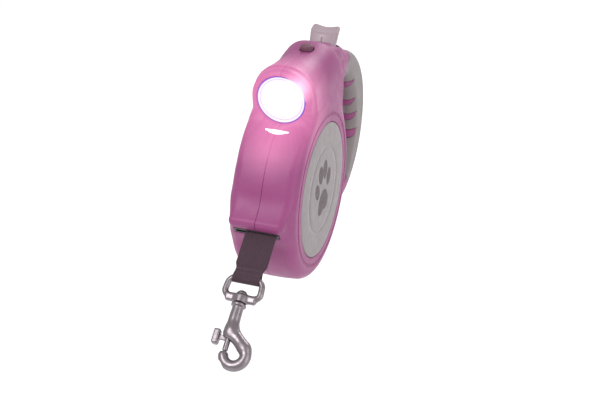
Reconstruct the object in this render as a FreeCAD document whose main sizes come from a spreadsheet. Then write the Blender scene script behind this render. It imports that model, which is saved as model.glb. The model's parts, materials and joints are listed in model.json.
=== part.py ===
"""Retractable tape leash with a built-in torch, for a medium dog.

The sizes below are measured from the spool's axle, with +X along the axle, -Y the way the
torch and the tape point, and +Z up. Every sub-part is then placed so that the row's origin is
the middle of the hand grip, grip_y behind the axle and grip_z above it.
The tape, its eye and the snap hook are drawn upright in a frame of their own, with its origin
on the eye's bar, and are turned into the tape's direction when they are placed.
"""
import FreeCAD, Part
import math
import os
import Sketcher
from FreeCAD import Placement, Rotation, Vector

SIZES = {
    # frame
    "grip_y": 90.4, "grip_z": 9.5,
    # round housing
    "half_width": 18, "rim_radius": 50.5, "crown_radius": 49.85, "crown_half": 12.15,
    "face_radius": 44, "cavity_radius": 44.5, "cavity_half": 15.8,
    "badge_radius": 37, "badge_thick": 1.2, "groove_radius": 41.7, "groove_tube": 0.45,
    # torch turret and the dome behind it
    "torch_z": 58, "torch_front": -16.5, "torch_radius": 17.5, "torch_rim": 3.4,
    "torch_waist": -9, "torch_back": 16, "torch_tail": 11, "lens_radius": 13.2,
    "lens_recess": 0.5, "chin_radius": 14.2,
    "dome_low": 16, "dome_base": 30, "dome_end": 43.5, "dome_power": 3, "roof_z": 61.4,
    # handle
    "ring_y": 56.3, "ring_z": 7, "ring_radius": 46.5, "hole_y": 56, "hole_reach": 23,
    "hole_height": 33, "handle_half": 12.5, "handle_round": 5.5, "sleeve_thick": 1.8,
    # spool, spring and brake
    "axle_radius": 4, "running_gap": 0.05, "hub_radius": 13.5, "roll_radius": 30.4,
    "flange_radius": 39, "tape_mid": 2.5, "tape_width": 16.8, "tape_thick": 0.9,
    "ratchet_left": -9, "ratchet_right": -5.95, "root_radius": 36.4, "tooth_radius": 40,
    "tooth_count": 24, "pawl_y": 19, "cup_radius": 31, "cup_left": -14.4, "lid_left": -15.4,
    "button_half": 8.1, "button_front": 55, "button_depth": 8, "button_top": 68.4,
    "button_bottom": 55.5, "button_lean": 0.7, "skirt_front": 51, "skirt_back": 63.5,
    "brake_travel": 4, "arm_bottom": 51.5,
    # switch
    "switch_x": 1, "switch_y": 23, "switch_base": 70.05, "switch_top": 72.9,
    # tape exit and snap hook
    "slot_y": -54.5, "slot_z": 1.4, "tape_angle": 34, "slot_half": 11, "eye_distance": 25.5,
    "hood_half": 14.7, "bar_radius": 1.5, "eye_half": 10.4, "eye_inner_half": 8,
    "barrel_radius": 2.9, "barrel_top": -13.4, "barrel_end": -30.5, "rod_radius": 1.25,
    "hook_radius": 5.6, "hook_bar": 2.9, "hook_x": 5.4, "hook_z": -39.2, "rod_low": -38.2,
}
SCREW_ANGLES = (40, 130, 205, 270, 330)
# Each fin of the grip, seen from the side: its tip, and its top and bottom at the finger hole.
FINS = (
    (77.6, 31.0, 31.0, 24.4),
    (81.8, 17.4, 15.2, 10.4),
    (84.0, 7.4, 6.0, 2.0),
    (85.2, -3.8, -2.6, -7.4),
)
ALONG_X = Rotation(Vector(0, 1, 0), 90)
ALONG_Y = Rotation(Vector(1, 0, 0), -90)
UPRIGHT = Rotation()

doc = FreeCAD.newDocument("retractable_leash")
sheet = doc.addObject("Spreadsheet::Sheet", "sizes")
for row, (alias, amount) in enumerate(SIZES.items(), start=1):
    sheet.set(f"A{row}", alias)
    sheet.set(f"B{row}", str(amount))
    sheet.setAlias(f"B{row}", alias)
doc.recompute()


def mm(alias):
    """A driving size, read from the sheet."""
    return float(sheet.get(alias))


TO_GRIP = Placement(Vector(0, -mm("grip_y"), -mm("grip_z")), Rotation())
TAPE_TURN = Rotation(Vector(1, 0, 0), mm("tape_angle") - 90)
SLOPE = math.radians(mm("tape_angle"))
EYE_BAR = Vector(
    mm("tape_mid"),
    mm("slot_y") - mm("eye_distance") * math.cos(SLOPE),
    mm("slot_z") - mm("eye_distance") * math.sin(SLOPE),
)
TO_EYE = TO_GRIP.multiply(Placement(EYE_BAR, TAPE_TURN))

# ---------------------------------------------------------------- small helpers


def bind(thing, **sizes):
    """Tie a feature's sizes to expressions on the sheet."""
    for name, expression in sizes.items():
        thing.setExpression(name, str(expression))


def place(thing, x=0, y=0, z=0, turn=UPRIGHT):
    """Put a thing at a point measured from the axle."""
    thing.Placement = Placement(Vector(), turn)
    thing.setExpression("Placement.Base.x", str(x))
    thing.setExpression("Placement.Base.y", f"({y}) - sizes.grip_y")
    thing.setExpression("Placement.Base.z", f"({z}) - sizes.grip_z")
    return thing


def box(name, x_span, y_span, z_span):
    """A block between two ends on each axis."""
    block = doc.addObject("Part::Box", name)
    ends = (x_span, y_span, z_span)
    low = [span[0] for span in ends]
    far = [f"({span[1]}) - ({span[0]})" for span in ends]
    bind(block, Length=far[0], Width=far[1], Height=far[2])
    return place(block, *low)


def rod(name, radius, x=0, y=0, z=0, length=1, turn=ALONG_X):
    """A plain cylinder that starts at the point."""
    cylinder = doc.addObject("Part::Cylinder", name)
    bind(cylinder, Radius=radius, Height=length)
    return place(cylinder, x, y, z, turn)


def cut(name, base, tool):
    result = doc.addObject("Part::Cut", name)
    result.Base = base
    result.Tool = tool
    return result


def fuse(name, shapes):
    result = doc.addObject("Part::MultiFuse", name)
    result.Shapes = shapes
    return result


def common(name, shapes):
    result = doc.addObject("Part::MultiCommon", name)
    result.Shapes = shapes
    return result


def tube(name, outer, inner, x, length, y=0, z=0, turn=ALONG_X):
    """A ring or sleeve: one cylinder out of another."""
    outside = rod(f"{name}_outside", outer, x, y, z, length, turn)
    inside = rod(f"{name}_inside", inner, x, y, z, length, turn)
    return cut(name, outside, inside)


def shaped(name, shape, place_at=TO_GRIP):
    """A piece whose form is worked out here, from sizes on the sheet."""
    feature = doc.addObject("Part::Feature", name)
    feature.Shape = shape
    feature.Placement = place_at
    return feature


def loop_of(points):
    """A closed wire of straight runs."""
    return Part.makePolygon(list(points) + [points[0]])


def slab(points, x_low, x_high):
    """A side outline of (y, z) points, as thick as the two x values are apart."""
    wire = loop_of([Vector(x_low, y, z) for y, z in points])
    return Part.Face(wire).extrude(Vector(x_high - x_low, 0, 0))


def turned(points, axis_point, axis):
    """A solid of revolution from a closed outline."""
    return Part.Face(loop_of(points)).revolve(axis_point, axis, 360)


def sketch_on(body, role, name):
    sketch = body.newObject("Sketcher::SketchObject", name)
    plane = [item for item in body.Origin.OriginFeatures if item.Role == role][0]
    sketch.AttachmentSupport = [(plane, "")]
    sketch.MapMode = "FlatFace"
    return sketch


def draw_circle(sketch, expression, start):
    """A circle on the sketch's origin, its radius tied to an expression."""
    index = sketch.addGeometry(Part.Circle(Vector(), Vector(0, 0, 1), start))
    sketch.addConstraint(Sketcher.Constraint("Coincident", index, 3, -1, 1))
    radius = sketch.addConstraint(Sketcher.Constraint("Radius", index, start))
    sketch.setExpression(f"Constraints[{radius}]", expression)


# ---------------------------------------------------------------- outer forms


def disc_form():
    """The round housing: flat faces, rounded rims and a slight crown across its width."""
    half = mm("half_width")
    bend_x = mm("crown_half")
    face_z = mm("face_radius")
    bend = half - bend_x
    diagonal = bend * math.sqrt(0.5)
    crown = mm("crown_radius")
    turn_x = bend_x + diagonal
    turn_z = face_z + diagonal

    def spot(x, z):
        return Vector(x, 0, z)

    edges = [
        Part.makeLine(spot(-half, 0), spot(half, 0)),
        Part.makeLine(spot(half, 0), spot(half, face_z)),
        Part.Arc(spot(half, face_z), spot(turn_x, turn_z), spot(bend_x, crown)).toShape(),
        Part.Arc(spot(bend_x, crown), spot(0, mm("rim_radius")), spot(-bend_x, crown)).toShape(),
        Part.Arc(spot(-bend_x, crown), spot(-turn_x, turn_z), spot(-half, face_z)).toShape(),
        Part.makeLine(spot(-half, face_z), spot(-half, 0)),
    ]
    return Part.Face(Part.Wire(edges)).revolve(Vector(), Vector(1, 0, 0), 360)


def arch(y, half, low, base, top):
    """A section across the body: upright sides from low to base, and a squarish arch above."""
    steps = 12
    power = mm("dome_power")
    points = []
    for step in range(steps + 1):
        angle = math.pi * step / steps
        across = math.copysign(abs(math.cos(angle)) ** (2 / power), math.cos(angle))
        up = math.sin(angle) ** (2 / power)
        points.append(Vector(half * across, y, base + (top - base) * up))
    curve = Part.BSplineCurve()
    curve.interpolate(points)
    right = Vector(half, y, low)
    left = Vector(-half, y, low)
    return Part.Wire([
        curve.toShape(),
        Part.makeLine(points[-1], left),
        Part.makeLine(left, right),
        Part.makeLine(right, points[0]),
    ])


def arched_form(low, base, crest):
    """A body that runs back through arches; crest lists each one's place, half width and top."""
    sections = [arch(y, half, low, base, top) for y, half, top in crest]
    return Part.makeLoft(sections, True, False)


def finger_hole(x, grow):
    """The oval finger hole, drawn with four arcs that meet without corners."""
    tall = mm("hole_height")
    wide = mm("hole_reach")
    end_radius = wide * wide / tall
    side_radius = (wide ** 2 + tall ** 2 - 2 * tall * end_radius) / (2 * (wide - end_radius))
    end_up = tall - end_radius
    side_back = side_radius - wide
    slant = math.atan2(end_up, side_back)
    end_arc = end_radius - grow
    side_arc = side_radius - grow

    def spot(across, up):
        return Vector(x, mm("hole_y") + across, mm("ring_z") + up)

    def join(across_sign, up_sign):
        across = across_sign * end_arc * math.cos(slant)
        up = up_sign * (end_up + end_arc * math.sin(slant))
        return spot(across, up)

    rear = spot(side_arc - side_back, 0)
    front = spot(side_back - side_arc, 0)
    top = spot(0, end_up + end_arc)
    bottom = spot(0, -end_up - end_arc)
    return Part.Wire([
        Part.Arc(join(1, -1), rear, join(1, 1)).toShape(),
        Part.Arc(join(1, 1), top, join(-1, 1)).toShape(),
        Part.Arc(join(-1, 1), front, join(-1, -1)).toShape(),
        Part.Arc(join(-1, -1), bottom, join(1, -1)).toShape(),
    ])


def ring_form(grow, rounding):
    """The handle's ring at its skin, or inside it when grow is negative."""
    half = mm("handle_half") + grow
    outer = Part.makeCylinder(
        mm("ring_radius") + grow, 2 * half,
        Vector(-half, mm("ring_y"), mm("ring_z")), Vector(1, 0, 0),
    )
    hole = Part.Face(finger_hole(-half, grow)).extrude(Vector(2 * half, 0, 0))
    ring = outer.cut(hole)
    edges = [edge for edge in ring.Edges if edge.BoundBox.XLength < 0.01]
    return ring.makeFillet(rounding, edges)


def fin_forms():
    """Claw-shaped ribs that rise from the handle's finger side and end in points."""
    fins = []
    reach = mm("hole_reach")
    height = mm("hole_height")
    width = mm("handle_half") + 1
    for tip_y, tip_z, top_z, heel_z in FINS:
        lift = (top_z + heel_z) / 2 - mm("ring_z")
        edge_y = mm("hole_y") + reach * math.sqrt(1 - (lift / height) ** 2)
        outline = [
            (edge_y - 4, top_z),
            (edge_y + 0.4, top_z),
            (tip_y, tip_z),
            (edge_y + 0.45 * (tip_y - edge_y), heel_z + 0.3 * (tip_z - heel_z)),
            (edge_y, heel_z),
            (edge_y - 4, heel_z),
        ]
        fins.append(slab(outline, -width, width))
    return fins


def hood_form():
    """The brow over the tape slot; its front face stands square to the tape."""
    half = mm("hood_half")
    across = Vector(0, -math.sin(SLOPE), math.cos(SLOPE))
    slot = Vector(0, mm("slot_y"), mm("slot_z"))
    lip = slot + across * 3.1
    chin = slot - across * 7.5
    outline = [
        (-42, 18.5),
        (-46.6, 17.2),
        (-51.6, 13.2),
        (-57.2, 8.8),
        (-57.4, 7.2),
        (lip.y, lip.z),
        (chin.y, chin.z),
        (-42, chin.z - 4),
    ]
    block = slab(outline, -half, half)
    sides = [edge for edge in block.Edges if edge.BoundBox.XLength < 0.01]
    brow = [edge for edge in sides if edge.CenterOfMass.z > lip.z - 1 and edge.CenterOfMass.y < -46]
    return block.makeFillet(1.5, brow)


DOME_WIDTH = mm("half_width") - 0.2
DOME_CREST = [
    (y, DOME_WIDTH, top)
    for y, top in ((-8, 72.3), (2, 70.6), (14, 69.7), (24, 70.2), (32, 70.3), (38, 68.2))
]
DOME_CREST.append((mm("dome_end"), DOME_WIDTH - 0.6, 62.5))
SHOULDER_CREST = ((34, 13, 66), (44, 12.8, 64), (54, 12.4, 60.6), (62, 11.2, 57), (68, 8.6, 53.2))

disc = shaped("disc_form", disc_form())
dome = shaped("dome_form", arched_form(mm("dome_low"), mm("dome_base"), DOME_CREST))
shoulder = shaped("shoulder_form", arched_form(46, 47, SHOULDER_CREST))
hood = shaped("hood_form", hood_form())
ring = shaped("ring_form", ring_form(0, mm("handle_round")))


def turret_form():
    """The torch's round front with a soft rim, tapering back into the dome."""
    front = mm("torch_front")
    waist = mm("torch_waist")
    radius = mm("torch_radius")
    barrel = Part.makeCylinder(
        radius, waist - front, Vector(0, front, mm("torch_z")), Vector(0, 1, 0))
    taper = Part.makeCone(
        radius, mm("torch_tail"), mm("torch_back") - waist,
        Vector(0, waist, mm("torch_z")), Vector(0, 1, 0),
    )
    rim = [edge for edge in barrel.Edges if edge.BoundBox.YMax < front + 0.1]
    return barrel.makeFillet(mm("torch_rim"), rim).fuse(taper).removeSplitter()


turret = shaped("turret_form", turret_form())
outer = fuse("housing_outside", [disc, dome, shoulder, hood, ring, turret])

# ---------------------------------------------------------------- hollows in the housing


def tape_box(name, half, thick, z_low, z_high):
    """A straight passage along the tape, level with the slot's middle."""
    block = Part.makeBox(
        2 * half, thick, z_high - z_low,
        Vector(-half - mm("tape_mid"), mm("tape_thick") / 2 - thick / 2, z_low),
    )
    return shaped(name, block, TO_EYE)


hollows = [
    rod("spool_room", "sizes.cavity_radius", "-sizes.cavity_half", length="2 * sizes.cavity_half"),
    box("cell_room", (-12, 12), (-2.6, 20), (38, 64)),
    box("brake_room", (-12, 12), (17, 37), (38, "sizes.roof_z")),
    box("arm_room", (-9.8, -5.2), (36, 56), (46.8, 56.2)),
    box("button_room", ("-sizes.button_half - 0.6", "sizes.button_half + 0.6"),
        ("sizes.skirt_front - 0.4", "sizes.skirt_back + 0.4"),
        ("sizes.arm_bottom - sizes.brake_travel - 0.4", 78)),
    rod("spring_room", 3.3, 0, 60.2, 45.2, 4, UPRIGHT),
    rod("lens_seat", "sizes.lens_radius", 0, "sizes.torch_front - 1", "sizes.torch_z", 4.4, ALONG_Y),
    rod("mirror_room", 12.7, 0, "sizes.torch_front + 3.3", "sizes.torch_z", 11, ALONG_Y),
    rod("chin_cut", "sizes.chin_radius", 0, "sizes.torch_front - 16", "sizes.torch_z", 16, ALONG_Y),
    rod("switch_hole", 3.7, "sizes.switch_x", "sizes.switch_y", "sizes.roof_z - 1", 14, UPRIGHT),
    tape_box("guide_room", mm("slot_half") + 1, 4.8, 18, 31),
    tape_box("tape_room", mm("slot_half"), 2.8, 18, 58),
    shaped("handle_hollow", ring_form(-4.2, 1.2)),
]
hollow = fuse("housing_hollow", hollows)
open_housing = cut("open_housing", outer, hollow)

# ---------------------------------------------------------------- axle, screws and badges

axle = rod("spool_axle", "sizes.axle_radius", "-sizes.cavity_half - 1.1",
           length="2 * sizes.cavity_half + 2.2")


def screw_points():
    """The screws stand between the spool and the rim."""
    middle = 42.8
    for degrees in SCREW_ANGLES:
        angle = math.radians(degrees)
        yield middle * math.cos(angle), middle * math.sin(angle)


def screw_group():
    """Pan-head screws that pull the left shell onto the right one."""
    screws = []
    for y, z in screw_points():
        head = Part.makeCylinder(1.7, 1.2, Vector(-17.8, y, z), Vector(1, 0, 0))
        shank = Part.makeCylinder(1.2, 26.6, Vector(-16.6, y, z), Vector(1, 0, 0))
        drive = Part.makeBox(0.8, 0.5, 2.4, Vector(-18.1, y - 0.25, z - 1.2))
        cross = Part.makeBox(0.8, 2.4, 0.5, Vector(-18.1, y - 1.2, z - 0.25))
        screws.append(head.fuse(shank).removeSplitter().cut(drive).cut(cross))
    return Part.makeCompound(screws)


def boss_group():
    """Pillars for the screws and the collar that carries the axle's right end."""
    half = mm("cavity_half") + 0.2
    pillars = [
        Part.makeCylinder(2.5, 2 * half, Vector(-half, y, z), Vector(1, 0, 0))
        for y, z in screw_points()
    ]
    collar = Part.makeCylinder(6.5, 3, Vector(half - 3, 0, 0), Vector(1, 0, 0))
    return Part.makeCompound(pillars + [collar])


screws = shaped("shell_screws", screw_group())
screw_heads_room = shaped("screw_heads_room", Part.makeCompound([
    Part.makeCylinder(1.9, 3, Vector(-19.6, y, z), Vector(1, 0, 0)) for y, z in screw_points()
]))
bosses = common("bosses_inside", [shaped("bosses", boss_group()), outer])
with_bosses = fuse("housing_with_bosses", [open_housing, bosses])


def badge(name, side):
    """A slightly domed disc that drops into the housing's face."""
    inner = side * (mm("half_width") - 1)
    outer_x = inner + side * mm("badge_thick")
    radius = mm("badge_radius")
    outline = [
        Vector(inner, 0, 0),
        Vector(inner, 0, radius),
        Vector(outer_x - side * 0.5, 0, radius),
        Vector(outer_x, 0, radius - 0.5),
        Vector(outer_x, 0, 0.64 * radius + 0.3),
        Vector(outer_x - side * 0.25, 0, 0.64 * radius),
        Vector(outer_x, 0, 0.64 * radius - 0.3),
        Vector(outer_x, 0, 0),
    ]
    return shaped(name, turned(outline, Vector(), Vector(1, 0, 0)))


badge_right = badge("badge_right", 1)
badge_left = badge("badge_left", -1)


def face_cuts():
    """Recesses for the badges and the fine groove round each of them."""
    radius = mm("badge_radius") + 0.15
    cuts = []
    for side in (-1, 1):
        start = Vector(side * (mm("half_width") - 1), 0, 0)
        cuts.append(Part.makeCylinder(radius, 3, start, Vector(side, 0, 0)))
        middle = Vector(side * mm("half_width"), 0, 0)
        cuts.append(Part.makeTorus(mm("groove_radius"), mm("groove_tube"), middle, Vector(1, 0, 0)))
    return Part.makeCompound(cuts)


# ---------------------------------------------------------------- grip sleeve with fin slots


def sleeve_form():
    """The soft skin of the handle: the ring behind two slanted ends, less the core and fins."""
    thick = mm("sleeve_thick")
    skin = ring_form(0, mm("handle_round"))
    core = ring_form(-thick, mm("handle_round") - thick)
    behind = slab(
        [(46.5, 32.4), (72.7, 57.5), (115, 60), (115, -50), (71.2, -50), (60, -5.4)],
        -mm("half_width"), mm("half_width"),
    )
    sleeve = skin.common(behind).cut(core)
    return sleeve.cut(Part.makeCompound(fin_forms()))


sleeve = shaped("grip_sleeve", sleeve_form())

# ---------------------------------------------------------------- torch


def glow_form():
    """A crescent light window in the shelf that the torch bore cuts into the crown."""
    outer_ring = Part.makeCylinder(
        mm("chin_radius") + 1.4, 8, Vector(0, -25, mm("torch_z")), Vector(0, 1, 0)
    )
    inner_ring = Part.makeCylinder(
        mm("chin_radius"), 8, Vector(0, -25, mm("torch_z")), Vector(0, 1, 0)
    )
    window = Part.makeBox(14.8, 8, 12, Vector(-7.4, -25.4, 40))
    return outer_ring.cut(inner_ring).common(window).common(disc_form())


glow = shaped("glow_window", glow_form())
torch_y = mm("torch_front") + mm("lens_recess")
torch_axis = Vector(0, 1, 0)
torch_point = Vector(0, 0, mm("torch_z"))


def about_torch(points):
    """A solid turned about the torch's axis; points are (y, distance from the axis)."""
    outline = [Vector(0, y, mm("torch_z") + away) for y, away in points]
    return turned(outline, torch_point, torch_axis)


def lens_form():
    """A clear window with a shallow domed face."""
    radius = mm("lens_radius")
    bulge = 0.7
    dome_radius = (radius ** 2 + bulge ** 2) / (2 * bulge)
    plate = Part.makeCylinder(radius, 2, Vector(0, torch_y, mm("torch_z")), torch_axis)
    ball = Part.makeSphere(dome_radius, Vector(0, torch_y + dome_radius, mm("torch_z")))
    return plate.common(ball)


lens = shaped("torch_lens", lens_form())
gasket = tube("lens_gasket", "sizes.lens_radius", "sizes.lens_radius - 1.6", 0, 0.7,
              y=torch_y + 2.1, z="sizes.torch_z", turn=ALONG_Y)
mirror = shaped("torch_reflector", about_torch([
    (torch_y + 2.9, 12.4), (torch_y + 2.9, 11.5), (torch_y + 6, 9.6), (torch_y + 9, 6.6),
    (torch_y + 11, 3.2), (torch_y + 11, 4.4), (torch_y + 9.4, 7.8), (torch_y + 6.4, 10.7),
    (torch_y + 3.7, 12.4),
]))
board = rod("led_board", 9, 0, torch_y + 11.1, "sizes.torch_z", 1.2, ALONG_Y)
emitter = shaped("led_emitter", about_torch([
    (torch_y + 11.1, 0), (torch_y + 11.1, 2.4), (torch_y + 9.9, 2.4), (torch_y + 9.9, 1.9),
    (torch_y + 8.9, 1.5), (torch_y + 8.4, 0.8), (torch_y + 8.3, 0),
]))

# ---------------------------------------------------------------- cells, switch and door

CELL_Y = 9.4
CELL_Z = 57
cells = shaped("button_cells", Part.makeCompound([
    Part.makeCylinder(5.8, 5.3, Vector(-11.4 + 5.4 * index, CELL_Y, CELL_Z), Vector(1, 0, 0))
    for index in range(3)
]))
holder_tube = tube("holder_tube", 6.6, 5.85, -10.8, 15.4, CELL_Y, CELL_Z)
holder_slot = box("holder_slot", (-9, 3), (CELL_Y - 2.5, CELL_Y + 2.5), (CELL_Z + 4, CELL_Z + 8))
holder = cut("cell_holder", holder_tube, holder_slot)
contacts = shaped("cell_contacts", Part.makeCompound([
    Part.makeBox(0.4, 7, 7, Vector(-11.85, CELL_Y - 3.5, CELL_Z - 3.5)),
    Part.makeBox(0.4, 7, 7, Vector(4.75, CELL_Y - 3.5, CELL_Z - 3.5)),
]))
switch_module = box("switch_module", (-3.6, 4.4), ("sizes.switch_y - 4", "sizes.switch_y + 4"),
                    (54, 60))
switch_top = doc.addObject("Part::Cone", "switch_cap_top")
bind(switch_top, Radius1=3.55, Radius2=2.9, Height="sizes.switch_top - sizes.switch_base")
place(switch_top, "sizes.switch_x", "sizes.switch_y", "sizes.switch_base")
switch_stem = rod("switch_cap_stem", 3.3, "sizes.switch_x", "sizes.switch_y", 61.2,
                  "sizes.switch_base - 61.2", UPRIGHT)
switch_cap = fuse("switch_cap", [switch_top, switch_stem])


def door_box(gap):
    """The block of the left shell's skin that lifts off beside the cells."""
    return Part.makeBox(8, 15 - 2 * gap, 14 - 2 * gap, Vector(-20.4, 2 + gap, 48.6 + gap))


door_patch = common("door_patch", [open_housing, shaped("door_block", door_box(0.3))])
door_notch = shaped("door_notch", Part.makeCylinder(
    2.4, 3, Vector(-18.9, CELL_Y, 50.6), Vector(1, 0, 0)))
door = cut("battery_door", door_patch, door_notch)

# ---------------------------------------------------------------- the two shells

guide_block = tape_box("guide_block", mm("slot_half") + 0.95, 4.7, 25.3, 30.9)
guide = cut("tape_guide", guide_block, tape_box("guide_slot", mm("slot_half"), 2.6, 24, 32))
left_out = fuse("left_out", [
    shaped("face_cuts", face_cuts()),
    axle,
    screws,
    screw_heads_room,
    sleeve,
    glow,
    shaped("door_opening", door_box(0)),
])
housing = cut("housing", with_bosses, left_out)
right_half = box("right_half", (0, 30), (-90, 120), (-60, 90))
left_half = box("left_half", (-30, 0), (-90, 120), (-60, 90))
shell_right = common("shell_right", [housing, right_half])
shell_left = common("shell_left", [housing, left_half])

# ---------------------------------------------------------------- spool, tape roll and spring


def revolve_body(name, points, names):
    """A body turned about the axle from (x, radius) points; names ties some to the sheet."""
    body = doc.addObject("PartDesign::Body", name)
    sketch = sketch_on(body, "XZ_Plane", f"{name}_sketch")
    count = len(points)
    for index in range(count):
        start = points[index]
        end = points[(index + 1) % count]
        sketch.addGeometry(Part.LineSegment(Vector(*start, 0), Vector(*end, 0)))
    for index in range(count):
        sketch.addConstraint(Sketcher.Constraint("Coincident", index, 2, (index + 1) % count, 1))
    for index, (x, radius) in enumerate(points):
        across = sketch.addConstraint(Sketcher.Constraint("DistanceX", -1, 1, index, 1, x))
        out = sketch.addConstraint(Sketcher.Constraint("DistanceY", -1, 1, index, 1, radius))
        x_name, radius_name = names[index]
        if x_name:
            sketch.setExpression(f"Constraints[{across}]", x_name)
        if radius_name:
            sketch.setExpression(f"Constraints[{out}]", radius_name)
    turn = body.newObject("PartDesign::Revolution", f"{name}_turn")
    turn.Profile = sketch
    turn.ReferenceAxis = (sketch, ["H_Axis"])
    turn.Angle = 360
    return place(body)


bore = mm("axle_radius") + mm("running_gap")
bore_name = "sizes.axle_radius + sizes.running_gap"
drum_left = mm("ratchet_right")
drum_right = 10.95
drum_rim = 12.4
drum = revolve_body(
    "spool_drum",
    [(drum_left, bore), (drum_rim, bore), (drum_rim, mm("flange_radius")),
     (drum_right, mm("flange_radius")), (drum_right, mm("hub_radius")),
     (drum_left, mm("hub_radius"))],
    [("sizes.ratchet_right", bore_name), (None, bore_name), (None, "sizes.flange_radius"),
     (None, "sizes.flange_radius"), (None, "sizes.hub_radius"),
     ("sizes.ratchet_right", "sizes.hub_radius")],
)


def ratchet_body():
    """A disc with a ring of brake teeth; a gap between teeth faces the pawl."""
    body = doc.addObject("PartDesign::Body", "ratchet_wheel")
    wheel = sketch_on(body, "YZ_Plane", "ratchet_wheel_sketch")
    draw_circle(wheel, "sizes.root_radius", mm("root_radius"))
    draw_circle(wheel, bore_name, bore)
    disc_pad = body.newObject("PartDesign::Pad", "ratchet_disc")
    disc_pad.Profile = wheel
    disc_pad.setExpression("Length", "sizes.ratchet_right - sizes.ratchet_left")
    tooth = sketch_on(body, "YZ_Plane", "ratchet_tooth_sketch")
    pawl_angle = math.atan2(mm("pawl_y"), 36)
    first = math.pi / 2 - pawl_angle + math.pi / mm("tooth_count")
    root = mm("root_radius") - 0.6
    tip = mm("tooth_radius")
    corners = [(root, -0.052), (tip, -0.026), (tip, 0.026), (root, 0.052)]
    points = [
        Vector(radius * math.cos(first + turn), radius * math.sin(first + turn), 0)
        for radius, turn in corners
    ]
    for index, start in enumerate(points):
        tooth.addGeometry(Part.LineSegment(start, points[(index + 1) % 4]))
    for index in range(4):
        tooth.addConstraint(Sketcher.Constraint("Coincident", index, 2, (index + 1) % 4, 1))
    tooth_pad = body.newObject("PartDesign::Pad", "ratchet_tooth")
    tooth_pad.Profile = tooth
    tooth_pad.setExpression("Length", "sizes.ratchet_right - sizes.ratchet_left")
    doc.recompute()
    pattern = body.newObject("PartDesign::PolarPattern", "ratchet_teeth")
    pattern.Originals = [tooth_pad]
    pattern.Axis = (wheel, ["N_Axis"])
    pattern.Angle = 360
    pattern.setExpression("Occurrences", "sizes.tooth_count")
    body.Tip = pattern
    return place(body, "sizes.ratchet_left")


ratchet = ratchet_body()
roll = tube("tape_roll", "sizes.roll_radius", "sizes.hub_radius",
            "sizes.tape_mid - sizes.tape_width / 2", "sizes.tape_width")
cup = tube("spring_cup", "sizes.cup_radius", "sizes.cup_radius - 1.5",
           "sizes.cup_left", "sizes.ratchet_left - sizes.cup_left")
lid = tube("spring_lid", "sizes.cup_radius", bore_name,
           "sizes.lid_left", "sizes.cup_left - sizes.lid_left")


def mainspring_form():
    """A flat spiral of half-turn arcs from beside the axle to just inside the cup."""
    band = 0.5
    step = 1.05
    half_turns = 2 * 22
    inner = mm("axle_radius") + 0.5
    bottom = mm("cup_left") + 0.3
    depth = mm("ratchet_left") - mm("cup_left") - 0.6

    def side_points(offset):
        points = []
        for index in range(half_turns + 1):
            radius = inner + offset + step * index / 2
            points.append(radius if index % 2 == 0 else -radius)
        return points

    def arcs(values):
        edges = []
        for index in range(len(values) - 1):
            start = values[index]
            end = values[index + 1]
            middle = (start + end) / 2
            radius = abs(end - start) / 2
            up = radius if index % 2 == 0 else -radius
            edges.append(Part.Arc(
                Vector(bottom, start, 0), Vector(bottom, middle, up), Vector(bottom, end, 0)
            ).toShape())
        return edges

    inside = side_points(0)
    outside = side_points(band)
    edges = arcs(inside) + arcs(outside)
    edges.append(Part.makeLine(Vector(bottom, inside[0], 0), Vector(bottom, outside[0], 0)))
    edges.append(Part.makeLine(Vector(bottom, inside[-1], 0), Vector(bottom, outside[-1], 0)))
    outline = Part.Wire(Part.__sortEdges__(edges))
    return Part.Face(outline).extrude(Vector(depth, 0, 0))


mainspring = shaped("mainspring", mainspring_form())

# ---------------------------------------------------------------- thumb brake


def button_form():
    """A thumb button that leans back: bowed front, dished top, and a skirt in its pocket."""
    half = mm("button_half")
    low = mm("button_bottom")
    height = mm("button_top") - low
    lean = mm("button_lean") * height
    front = mm("button_front") - lean
    back = front + mm("button_depth")
    bow = 2.2
    right = Vector(half, front + bow, low)
    left = Vector(-half, front + bow, low)
    edges = [
        Part.Arc(left, Vector(0, front, low), right).toShape(),
        Part.makeLine(right, Vector(half, back, low)),
        Part.makeLine(Vector(half, back, low), Vector(-half, back, low)),
        Part.makeLine(Vector(-half, back, low), left),
    ]
    block = Part.Face(Part.Wire(edges)).extrude(Vector(0, lean, height))
    slanted = [edge for edge in block.Edges if edge.BoundBox.ZLength > height - 0.01]
    block = block.makeFillet(1.4, slanted)
    dish_radius = 26
    dish = Part.makeCylinder(
        dish_radius, 60,
        Vector(-30, mm("button_front"), mm("button_top") + dish_radius - 1.2), Vector(1, 0, 0),
    )
    skirt_front = mm("skirt_front")
    pocket_side = Part.makeBox(60, 60, 60, Vector(-30, skirt_front - 60, low - 30))
    skirt = slab(
        [(skirt_front, low), (mm("skirt_back"), low), (mm("skirt_back"), low + 0.4),
         (skirt_front, low + 3.5)],
        -half, half,
    )
    return block.cut(dish).cut(pocket_side).fuse(skirt).removeSplitter()


button = shaped("brake_button", button_form())
arm_half = 1.6
arm_x = -7.1
arm_top = "sizes.button_bottom"
arm = box("brake_arm", (arm_x - arm_half, arm_x + arm_half), (17.5, "sizes.skirt_back"),
          ("sizes.arm_bottom", arm_top))
pawl_tip = box("pawl_tip", (arm_x - 1.4, arm_x + 1.4), ("sizes.pawl_y - 1.5", "sizes.pawl_y + 1.5"),
               (38.4, "sizes.arm_bottom + 1"))
foot = box("brake_foot", (arm_x - arm_half, 7.8), ("sizes.skirt_front", "sizes.skirt_back"),
           ("sizes.arm_bottom + 1", arm_top))
pawl = fuse("brake_pawl", [arm, pawl_tip, foot])


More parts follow.
